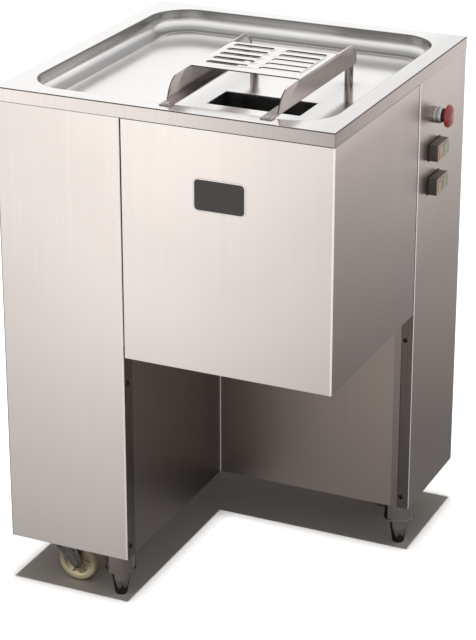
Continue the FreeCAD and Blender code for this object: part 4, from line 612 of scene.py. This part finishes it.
        # Zinc-plated pressings of the casters: grey with a dull crystalline bloom
        zinc = metal(
            "zinc plated pressing",
            linear("#56514E"),
            linear("#85807C"),
            (7.0, 7.0, 7.0),
            relief=0.01,
            gloss=(0.3, 0.46),
            clouds=14.0,
        )
        side, bay = Vector(colours.shaded_side_panel), Vector(colours.shaded_bay_wall)
        skins = {
            # Panels that face right: a painted shade, a darker sheet that grows darker towards the bottom
            "side": brushed_sheet("stainless sheet with painted side shade", side, bands=SIDE_BANDS),
            # Walls of the bay: a rougher sheet with a painted shade, greyer and darker towards the inner corner
            "bay": brushed_sheet(
                "stainless sheet with painted bay shade", bay, gloss=(0.36, 0.46), bands=BAY_BANDS, across="X"
            ),
            # Bends between the front and the right-hand faces: a painted highlight, near white
            "bend": metal(
                "bend with painted highlight", linear("#F6F3F1"), linear("#FFFEFD"), (8.0, 8.0, 8.0), gloss=(0.5, 0.6)
            ),
            # Folded lips in the shade of a joint: dull and dark
            "lip": metal("shaded lip", bay * 0.3, bay * 0.4, (2.0, 2.0, 500.0), gloss=(0.36, 0.46)),
            # Wall of the drawn well: painted reflection bands, dark under the rim and bright where the cove turns
            "well": metal(
                "well wall with painted reflection bands",
                tray * 0.84,
                tray,
                (60.0, 60.0, 1.5),
                relief=0.002,
                gloss=(0.2, 0.28),
                clouds=160.0,
                bands=WELL_BANDS,
            ),
            # Cut edges of the guard's slots: dark from the heat and matt; the same colour is a painted shade,
            # dark lines along the bends of the cabinet and the tray's rim
            "edge": metal(
                "cut edge and painted dark line", linear("#4A433F"), linear("#6B625D"), (0.8, 0.8, 0.8), gloss=(0.4, 0.55)
            ),
            # Wings of the guard: satin sheet with a painted shade, greyer than the top and darker near neighbours
            "wing": metal(
                "guard wing with painted shade",
                side * 0.95,
                side,
                (2.0, 260.0, 2.0),
                relief=0.0005,
                gloss=(0.26, 0.34),
                clouds=200.0,
                hollow=40.0,
            ),
            # Front of the tray's skirt: a painted reflection and shade, darker towards the right-hand corner
            "front skirt": brushed_sheet(
                "front skirt with painted shade",
                Vector(colours.panel),
                bands=((-316, 0.95), (-40, 0.85), (284, 0.45)),
                across="X",
            ),
            # Right side of the tray's skirt: a painted shade, a darker sheet that grows darker towards the front
            "right skirt": brushed_sheet(
                "side skirt with painted shade", side, bands=((-305, 0.55), (-100, 0.8), (305, 1.0)), across="Y"
            ),
            # Left and rear sides of the tray's skirt: brushed as the panels below them are
            "rear skirt": brushed_sheet("brushed skirt", Vector(colours.panel)),
            # Side of the hood: a painted shade, darker than the panel behind it and darker towards the bottom
            "hood side": brushed_sheet("hood side with painted shade", side, bands=HOOD_BANDS),
        }
        # Polished bar of the posts and feet: mirror-like, so that it takes upright stripes of light; its colour
        # is darker than bright steel, partly a painted shade
        bar = metal(
            "polished stainless bar",
            linear("#857D79"),
            linear("#A8A09B"),
            (1.0, 1.0, 40.0),
            relief=0.001,
            gloss=(0.06, 0.12),
        )
        order = [None, *skins]
        for node, solid in frame["nodes"].items():
            coat = finishes[SLOT_OF[node]]
            if node == "caster_plates" or node.endswith("_fork"):
                coat = zinc
            elif node in BARS:
                coat = bar
            solid.data.materials.clear()
            solid.data.materials.append(coat)
            if node in SHEETS:
                for skin in skins.values():
                    solid.data.materials.append(skin)
                for face in solid.data.polygons:
                    face.material_index = order.index(self.skin(node, face.normal, face.center / MM))
        return {"FINISHED"}

    def skin(self, node, normal, spot):
        """Which skin a face takes, from where it faces and lies (mm). None stands for the sheet's own finish."""
        facing, slanted, step = 0.7, 0.2, 250
        if node in BAY_WALLS:
            return "side" if spot.x > step else "bay"
        if node == "tray_top":
            return self.tray_skin(normal, spot)
        if node == "guard_cover":
            return self.guard_skin(normal, spot)
        if node == "right_side_panel" and normal.y < -facing:
            return "lip"
        if node == "left_front_panel" and normal.x > 0.95:
            return "lip"
        # Painted highlight: bends between the front and a right-hand face take the near-white bend colour
        if normal.y < -slanted and normal.x > slanted:
            return "bend"
        # Painted shade: the other slanted bends take the dark edge colour as a line
        if abs(normal.x) > slanted and abs(normal.y) > slanted:
            return "edge"
        if normal.x > facing:
            return "hood side" if node == "hood_door" else "side"
        return "lip" if normal.z < -facing else None

    def tray_skin(self, normal, spot):
        """The skin of a face of the tray: one side of its skirt, a painted dark line of shade along its bends, or
        the wall of its well.
        """
        facing, fold, floor = 0.7, 4.0, 0.5
        skirt = (
            spot.x < TRAY_LOW.x + fold or spot.x > TRAY_HIGH.x - fold or abs(spot.y) > TRAY_HIGH.y - fold
        )
        if not skirt:
            return "well" if abs(normal.z) < 0.985 and spot.z > TRAY_LOW.z + floor else None
        # Painted shade: the rounded bends of the rim and skirt take a dark line
        if 0.12 < abs(normal.z) < 0.97:
            return "edge"
        if normal.x > facing:
            return "right skirt"
        if normal.y < -facing:
            return "front skirt"
        return "rear skirt" if normal.x < -facing or normal.y > facing else None

    def guard_skin(self, normal, spot):
        """The skin of a face of the guard: a wing or foot flange, or the cut edge of a slot."""
        flange = 4.0
        if abs(normal.x) > 0.5 or spot.z < GUARD_LOW.z + flange:
            return "wing"
        return "edge" if abs(normal.z) < 0.97 and abs(normal.x) < 0.3 else None


class SLICER_OT_guard(bpy.types.Operator):
    """Adds the slotted guard, its slots opened to the width of a press tool"""

    bl_idname = "slicer.guard"
    bl_label = "Guard"

    def execute(self, context):
        solid = frame["nodes"]["guard_cover"]
        low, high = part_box("guard_cover")
        middle = (low.x + high.x) / 2
        rows, aside, first, pitch = 5, 47 * MM, 146 * MM, 27 * MM
        half_length, half_width, sheet = 37 * MM, 5 * MM, 2.5 * MM
        wider = context.scene.slicer_sizes.slot_width / (9 * MM)
        mesh = bmesh.new()
        mesh.from_mesh(solid.data)
        bmesh.ops.remove_doubles(mesh, verts=mesh.verts, dist=0.001 * MM)
        for column in (middle - aside, middle + aside):
            for row in range(rows):
                centre = Vector((column, low.y + first + row * pitch, high.z))
                rim = [
                    vert
                    for vert in mesh.verts
                    if vert.co.z > high.z - sheet
                    and abs(vert.co.x - centre.x) < half_length
                    and abs(vert.co.y - centre.y) < half_width
                ]
                bmesh.ops.scale(mesh, vec=(1, wider, 1), space=Matrix.Translation(-centre), verts=rim)
        coats = list(solid.data.materials)
        finish_piece(mesh, "slotted_guard", "cabinet", coats, ["guard_cover"])
        return {"FINISHED"}


class SLICER_OT_plate(bpy.types.Operator):
    """Adds the plain enamelled plate on the front of the hood"""

    bl_idname = "slicer.plate"
    bl_label = "Plate"

    def execute(self, context):
        sizes, colours = context.scene.slicer_sizes, context.scene.slicer_colours
        door_low, door_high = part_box("hood_door")
        thick, corner, rim, sunk = 0.8 * MM, 9 * MM, 2.2 * MM, 0.3 * MM
        from_left, below_top = 173 * MM, 108 * MM
        centre = Vector((door_low.x + from_left, door_low.y - thick / 2, door_high.z - below_top))
        half = Vector((sizes.plate_width, thick, sizes.plate_height)) / 2
        mesh = bmesh.new()
        faces = block(mesh, centre - half, centre + half, corner, steps=6, along=Y)
        front = [face for face in faces if face.normal.y < -0.9]
        bmesh.ops.inset_region(mesh, faces=front, thickness=rim)
        bmesh.ops.inset_region(mesh, faces=front, thickness=0.3 * MM, depth=-sunk)
        for face in front:
            face.material_index = 1
        # Polished stainless rim: bright and clean
        bright = metal(
            "polished stainless rim",
            linear("#C9C6C3"),
            linear("#E4E1DE"),
            (8.0, 8.0, 8.0),
            relief=0.002,
            gloss=(0.12, 0.2),
        )
        # Fired enamel: deep brown-black and glossy
        enamel = finish(
            "fired dark enamel",
            Vector(colours.plate) * 0.8,
            Vector(colours.plate),
            (5.0, 5.0, 5.0),
            relief=0.01,
            gloss=(0.2, 0.3),
            **{"Coat Weight": 0.4},
        )
        finish_piece(mesh, "hood_plate", "hood_door", [bright, enamel])
        return {"FINISHED"}


class SLICER_OT_screws(bpy.types.Operator):
    """Adds socket screws beside the bay and on the guard's feet"""

    bl_idname = "slicer.screws"
    bl_label = "Screws"

    def execute(self, context):
        # Oiled black screws: near black, with a soft gloss on the dome
        black = metal(
            "blackened screw steel",
            linear("#2C2724"),
            linear("#4A433F"),
            (0.8, 0.8, 0.8),
            relief=0.002,
            gloss=(0.18, 0.3),
        )
        bright = bpy.data.materials["turned bright steel"]
        radius = 4.5 * MM
        mesh = bmesh.new()
        low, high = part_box("panel_screws")
        for level in (low.z + radius, high.z - radius):
            socket_screw(mesh, Vector((low.x, low.y + radius, level)), X, radius, 2 * MM)
            socket_screw(mesh, Vector((high.x - radius, high.y, level)), -Y, radius, 2 * MM)
        # Painted highlight: the socket floors of the panel screws take the bright steel as a glint
        finish_piece(
            mesh, "panel_socket_screws", "cabinet", [black, bright], ["panel_screws"]
        )
        mesh = bmesh.new()
        low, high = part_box("guard_screws")
        for across in (low.x + radius, high.x - radius):
            for back in (low.y + radius, high.y - radius):
                socket_screw(mesh, Vector((across, back, low.z)), Z, radius, high.z - low.z)
        finish_piece(
            mesh, "guard_socket_screws", "cabinet", [bright, black], ["guard_screws"]
        )
        return {"FINISHED"}


class SLICER_OT_bay_seam(bpy.types.Operator):
    """Adds a bead of weld down the inner corner of the bay, near white as a painted highlight"""

    bl_idname = "slicer.bay_seam"
    bl_label = "Bay seam"

    def execute(self, context):
        low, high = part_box("bay_back_panel")
        radius, step = 1.1, 0.8 * MM
        corner = Vector((low.x + radius * MM, low.y + step - radius * MM, low.z))
        tall = (high.z - low.z) / MM
        mesh = bmesh.new()
        spun(mesh, [(0, 0), (radius, 0), (radius, tall), (0, tall)], corner, Z, steps=16, soft=0.3)
        bright = bpy.data.materials["bend with painted highlight"]
        finish_piece(mesh, "bay_corner_bead", "cabinet", [bright])
        return {"FINISHED"}


class SLICER_OT_emergency_stop(bpy.types.Operator):
    """Adds the grooved collar and the domed red head of the emergency stop"""

    bl_idname = "slicer.emergency_stop"
    bl_label = "Emergency stop"

    def execute(self, context):
        low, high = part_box("estop_collar")
        middle = (low + high) / 2
        bore, neck, ring = 7.05, 11.0, 14.5
        outline = [
            (bore, 0), (neck, 0), (neck, 7), (ring, 7), (ring, 12.5), (neck, 12.5), (neck, 14), (ring, 14),
            (ring, 17.4), (ring - 0.9, 18.0), (ring - 0.9, 19.2), (ring, 19.8), (ring, 24.6), (ring - 0.8, 25.2),
            (ring - 0.8, 26.2), (ring - 1.6, 28), (12.3, 28), (12.2, 20), (bore, 20), (bore, 0),
        ]
        mesh = bmesh.new()
        spun(mesh, outline, Vector((low.x, middle.y, middle.z)), X, steps=64, soft=0.25)
        bright = bpy.data.materials["turned bright steel"]
        finish_piece(mesh, "stop_collar", "cabinet", [bright], ["estop_collar"])
        low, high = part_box("estop_head")
        shank_end = 1.3 * MM
        seat, bore, shank, rim = 5.55, 7.05, 11.7, 20.0
        outline = [
            (0, seat), (bore, seat), (bore, -5), (shank, -5), (shank, 1.2), (12.5, 1.8), (16.8, 2.3), (18.8, 3.2),
            (rim, 4.8), (rim, 6.6), (rim - 0.5, 8.6), (rim - 1.9, 10.6), (rim - 4.2, 12.2), (14.6, 12.75),
            (14.0, 12.5), (13.4, 13.2), (9, 14.1), (4.5, 14.45), (0, 14.5),
        ]
        mesh = bmesh.new()
        spun(mesh, outline, Vector((low.x, middle.y, middle.z)), X, steps=64)
        for face in mesh.faces:
            face.material_index = int(face.calc_center_median().x < low.x + shank_end)
        red = bpy.data.materials["gloss red moulding"]
        black = bpy.data.materials["matt black moulding"]
        finish_piece(mesh, "stop_head", "estop_head", [red, black], ["estop_head"], crease=50)
        return {"FINISHED"}


class SLICER_OT_switches(bpy.types.Operator):
    """Adds the two switch boxes with their pale faces, seals and push buttons"""

    bl_idname = "slicer.switches"
    bl_label = "Switches"

    def execute(self, context):
        dark = bpy.data.materials["grained black moulding"]
        # Moulded face frame: pale beige ABS, slightly worn and satin
        pale = finish(
            "beige satin moulding",
            linear("#B3A899"),
            linear("#CFC6B9"),
            (3.0, 3.0, 3.0),
            relief=0.01,
            gloss=(0.3, 0.42),
            clouds=12.0,
            **{"IOR": 1.5},
        )
        seal = bpy.data.materials["moulded rubber"]
        # Top of the same moulding, paler: a painted light on the top face
        painted_light_top = finish(
            "black moulding with painted lit top",
            linear("#7A706A"),
            linear("#93887F"),
            (4.0, 4.0, 4.0),
            relief=0.01,
            gloss=(0.4, 0.5),
            clouds=14.0,
        )
        low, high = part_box("switch_boxes")
        tall, play, seal_width = 30 * MM, 0.4 * MM, 1.2 * MM
        mesh = bmesh.new()
        for name, base in (("upper", high.z - tall), ("lower", low.z)):
            near, far = Vector((low.x, low.y, base)), Vector((high.x, high.y, base + tall))
            windows = []
            for action in ("stop", "start"):
                button_low, button_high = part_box("%s_%s_button" % (name, action))
                windows.append((button_low.yz - Vector((play, play)), button_high.yz + Vector((play, play))))
            self.case(mesh, near, far, windows)
            rim = Vector((0, seal_width, seal_width))
            for face in block(mesh, near - rim, Vector((near.x + seal_width, far.y, far.z)) + rim, 0.4 * MM):
                face.material_index = 2
        finish_piece(
            mesh, "switch_cases", "cabinet", [dark, pale, seal, painted_light_top], ["switch_boxes"]
        )
        for name in BUTTONS:
            self.cap(name + "_button")
        return {"FINISHED"}

    def case(self, mesh, near, far, windows):
        """One box with rounded edges, a pale face, a top paled by painted light and a deep window for each
        button.
        """
        face_depth = 1.2 * MM
        depth = far.x - near.x - face_depth
        faces = block(mesh, near, far, 2.0 * MM, steps=3)
        front = [face for face in faces if face.normal.x > 0.99]
        for low, high in windows:
            for place, normal in ((low.x, Y), (high.x, Y), (low.y, Z), (high.y, Z)):
                spot = Vector((far.x, place, place))
                parts = {e for f in front for e in f.edges} | {v for f in front for v in f.verts} | set(front)
                cut = bmesh.ops.bisect_plane(mesh, geom=list(parts), plane_co=spot, plane_no=normal)
                front = [item for item in cut["geom"] if isinstance(item, bmesh.types.BMFace)]
        for face in faces + front:
            if face.is_valid:
                # Painted light: upward faces take the paler top colour
                painted_light_top = 3 if face.normal.z > 0.9 else 0
                face.material_index = 1 if face.calc_center_median().x > far.x - face_depth else painted_light_top
        for low, high in windows:
            inside = [
                face
                for face in front
                if low.x < face.calc_center_median().y < high.x and low.y < face.calc_center_median().z < high.y
            ]
            front = [face for face in front if face not in inside]
            sunk = bmesh.ops.extrude_face_region(mesh, geom=inside)["geom"]
            floor = [item for item in sunk if isinstance(item, bmesh.types.BMVert)]
            bmesh.ops.translate(mesh, vec=-X * depth, verts=floor)

    def cap(self, name):
        """One push button with a rounded edge and a slightly sunk face."""
        low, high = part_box(name)
        mesh = bmesh.new()
        faces = block(mesh, low, high, 1.0 * MM, steps=3)
        front = [face for face in faces if face.normal.x > 0.99]
        bmesh.ops.inset_region(mesh, faces=front, thickness=1.2 * MM)
        bmesh.ops.inset_region(mesh, faces=front, thickness=0.6 * MM, depth=-0.4 * MM)
        shade = bpy.data.materials["milky green moulding" if "start" in name else "milky red moulding"]
        finish_piece(mesh, name.replace("button", "cap"), name, [shade], [name], crease=50)


class SLICER_OT_wheels(bpy.types.Operator):
    """Adds the ribbed nylon wheels of the casters"""

    bl_idname = "slicer.wheels"
    bl_label = "Wheels"

    def execute(self, context):
        nylon = bpy.data.materials["cream nylon moulding"]
        half = [
            (5.05, -13), (12, -13), (14, -7), (24, -7), (26, -13), (31.5, -13), (34.6, -12.2), (36.6, -10.2),
            (37.5, -7), (37.5, -0.7), (37.1, 0),
        ]
        outline = half + [(radius, -height) for radius, height in reversed(half[:-1])] + half[:1]
        for caster in CASTERS:
            low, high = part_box(caster + "_wheel")
            centre = (low + high) / 2
            mesh = bmesh.new()
            spun(mesh, outline, centre, Y, steps=72, soft=0.5)
            ribs, rib_low, rib_high = 6, Vector((12.5, -11, -1.4)) * MM, Vector((25.2, 11, 1.4)) * MM
            for index in range(ribs):
                before = set(mesh.verts)
                block(mesh, rib_low, rib_high, 0.8 * MM, steps=2)
                rib = [vert for vert in mesh.verts if vert not in before]
                turn = Matrix.Rotation(index * math.tau / ribs, 4, "Y")
                bmesh.ops.transform(mesh, matrix=Matrix.Translation(centre) @ turn, verts=rib)
            body = caster + "_wheel"
            finish_piece(mesh, caster + "_ribbed_wheel", body, [nylon], [body])
        return {"FINISHED"}


class SLICER_OT_gland(bpy.types.Operator):
    """Adds the cable gland with its clamping nut under the base"""

    bl_idname = "slicer.gland"
    bl_label = "Cable gland"

    def execute(self, context):
        low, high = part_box("cable_gland")
        foot = Vector(((low.x + high.x) / 2, (low.y + high.y) / 2, low.z))
        mesh = bmesh.new()
        dome = [
            (5, 0), (6.4, 0), (8.6, 1.4), (10, 4.5), (10, 12.4), (9.2, 12.9), (9.2, 13.8), (10, 14), (10, 25),
            (5, 25), (5, 0),
        ]
        spun(mesh, dome, foot, Z, soft=0.3)
        across = 26 * MM
        for base, tall in ((5.0, 6.5), (14.0, 8.0)):
            nut = bmesh.ops.create_cone(
                mesh, cap_ends=True, segments=6, radius1=across / 3**0.5, radius2=across / 3**0.5, depth=tall * MM
            )["verts"]
            bmesh.ops.translate(mesh, vec=foot + Z * (base + tall / 2) * MM, verts=nut)
            soften(mesh, nut, 0.8 * MM)
        dark = bpy.data.materials["grained black moulding"]
        finish_piece(mesh, "gland_nut", "cabinet", [dark], ["cable_gland"])
        return {"FINISHED"}


class SLICER_OT_stage(bpy.types.Operator):
    """Adds the floor, the world, the lamps and the camera"""

    bl_idname = "slicer.stage"
    bl_label = "Stage"

    def execute(self, context):
        scene = context.scene
        scene.view_settings.view_transform = "Standard"
        mesh = bmesh.new()
        bmesh.ops.create_grid(mesh, x_segments=1, y_segments=1, size=20.0)
        data = bpy.data.meshes.new("studio_floor")
        mesh.to_mesh(data)
        mesh.free()
        data.materials.append(self.paper())
        floor = bpy.data.objects.new("studio_floor", data)
        scene.collection.objects.link(floor)
        self.light_world(scene)
        self.add_key(scene, floor)
        self.add_floor_light(scene, floor)
        self.add_camera(scene)
        return {"FINISHED"}

    def paper(self):
        """Matt studio paper: white to the camera, and to reflections darker towards the object that shades it."""
        material = bpy.data.materials.new("matt white paper")
        material.use_nodes = True
        tree = material.node_tree
        tree.nodes.clear()
        place = add_node(tree, "TexCoord").outputs["Object"]
        # Painted shade: to reflections the paper darkens towards a point right of and behind the object's middle
        away = add_node(
            tree, "VectorMath", {"operation": "DISTANCE", 1: (0.25, 0.2, 0)}, {0: place}
        ).outputs["Value"]
        ramp = add_node(
            tree, "MapRange", {"From Min": 0.4, "From Max": 2.8, "To Min": 0.22, "To Max": 0.84}, {"Value": away}
        )
        path = add_node(tree, "LightPath")
        seen = add_node(
            tree, "Math", {"operation": "MAXIMUM"}, {0: path.outputs["Is Camera Ray"], 1: ramp.outputs[0]}
        )
        fibres = add_node(tree, "TexNoise", {"Scale": 1 / (400 * MM), "Detail": 2.0}, {"Vector": place})
        white = add_node(tree, "ValToRGB", links={"Fac": fibres.outputs["Fac"]})
        white.color_ramp.elements[0].color = [*linear("#F8F7F6"), 1]
        white.color_ramp.elements[1].color = [*linear("#FCFBFA"), 1]
        colour = add_node(
            tree, "VectorMath", {"operation": "SCALE"}, {0: white.outputs[0], "Scale": seen.outputs[0]}
        )
        sheet = add_node(
            tree,
            "BsdfPrincipled",
            {"Roughness": 0.95, "Specular IOR Level": 0.0},
            {"Base Color": colour.outputs[0]},
        )
        add_node(tree, "OutputMaterial", links={"Surface": sheet.outputs[0]})
        return material

    def light_world(self, scene):
        """White to the camera and to gloss, and a plain grey fill to everything else."""
        world = bpy.data.worlds.new("studio")
        world.use_nodes = True
        scene.world = world
        tree = world.node_tree
        tree.nodes.clear()
        path = add_node(tree, "LightPath")
        seen = path.outputs["Is Camera Ray"]
        for ray in ("Is Glossy Ray", "Is Transmission Ray"):
            seen = add_node(tree, "Math", {"operation": "MAXIMUM"}, {0: seen, 1: path.outputs[ray]}).outputs[0]
        glow = add_node(tree, "ValToRGB", links={"Fac": seen})
        glow.color_ramp.elements[0].color = (0.24, 0.22, 0.2, 1)
        glow.color_ramp.elements[1].color = (1, 1, 1, 1)
        background = add_node(tree, "Background", {"Strength": 1.0}, {"Color": glow.outputs[0]})
        add_node(tree, "OutputWorld", links={"Surface": background.outputs[0]})

    def add_floor_light(self, scene, floor):
        """A light from straight above that reaches the floor past all but the cabinet's foot."""
        lamp = bpy.data.lights.new("floor_light", "SUN")
        lamp.angle = math.radians(5)
        lamp.energy = 3.8
        holder = bpy.data.objects.new("floor_light", lamp)
        scene.collection.objects.link(holder)
        lit = bpy.data.collections.new("lit_by_floor_light")
        lit.objects.link(floor)
        holder.light_linking.receiver_collection = lit
        foot = bpy.data.collections.new("shades_the_floor")
        for piece in scene.objects:
            if piece.name in FOOTPRINT:
                foot.objects.link(piece)
        holder.light_linking.blocker_collection = foot

    def add_key(self, scene, floor):
        """A broad soft key light on the object from the front left and above."""
        lamp = bpy.data.lights.new("key_light", "SUN")
        lamp.angle = math.radians(14)
        lamp.energy = 3.0
        holder = bpy.data.objects.new("key_light", lamp)
        travel = Vector((0.45, 0.89, -math.tan(math.radians(54))))
        holder.rotation_euler = travel.to_track_quat("-Z", "Y").to_euler()
        holder.location = -2 * travel
        holder.visible_glossy = False
        scene.collection.objects.link(holder)
        spared = bpy.data.collections.new("spared_by_key_light")
        spared.objects.link(floor)
        spared.collection_objects[0].light_linking.link_state = "EXCLUDE"
        holder.light_linking.receiver_collection = spared

    def add_camera(self, scene):
        """The camera stands in front and to the right, and looks down on the tray. lowered is in pixels."""
        camera = bpy.data.cameras.new("camera")
        camera.lens = 126.15
        camera.sensor_width = 36.0
        lowered = 64
        camera.shift_y = -lowered / PHOTO_HEIGHT
        holder = bpy.data.objects.new("camera", camera)
        holder.location = (1.4997, -3.3174, 1.9493)
        yaw, pitch = 0.4292, 0.3672
        holder.rotation_euler = (math.pi / 2 - pitch, 0, yaw)
        scene.collection.objects.link(holder)
        scene.camera = holder


OPERATORS = (
    SLICER_OT_finishes,
    SLICER_OT_guard,
    SLICER_OT_plate,
    SLICER_OT_screws,
    SLICER_OT_bay_seam,
    SLICER_OT_emergency_stop,
    SLICER_OT_switches,
    SLICER_OT_wheels,
    SLICER_OT_gland,
    SLICER_OT_stage,
)


class SLICER_PT_sidebar(bpy.types.Panel):
    """Lists the slicer's pieces in the 3D view's sidebar"""

    bl_idname = "SLICER_PT_sidebar"
    bl_label = "Meat slicer"
    bl_space_type = "VIEW_3D"
    bl_region_type = "UI"
    bl_category = "Slicer"

    def draw(self, context):
        for group in (context.scene.slicer_colours, context.scene.slicer_sizes):
            for name in group.__annotations__:
                self.layout.prop(group, name)
        for operator in OPERATORS:
            self.layout.operator(operator.bl_idname)


CLASSES = (SlicerColours, SlicerSizes, *OPERATORS, SLICER_PT_sidebar)


def register():
    for kind in CLASSES:
        bpy.utils.register_class(kind)
    bpy.types.Scene.slicer_colours = PointerProperty(type=SlicerColours)
    bpy.types.Scene.slicer_sizes = PointerProperty(type=SlicerSizes)


def unregister():
    del bpy.types.Scene.slicer_sizes
    del bpy.types.Scene.slicer_colours
    for kind in reversed(CLASSES):
        bpy.utils.unregister_class(kind)


def main():
    register()
    bpy.ops.slicer.finishes()
    bpy.ops.slicer.guard()
    bpy.ops.slicer.plate()
    bpy.ops.slicer.screws()
    bpy.ops.slicer.bay_seam()
    bpy.ops.slicer.emergency_stop()
    bpy.ops.slicer.switches()
    bpy.ops.slicer.wheels()
    bpy.ops.slicer.gland()
    bpy.ops.slicer.stage()


if __name__ == "__main__":
    main()
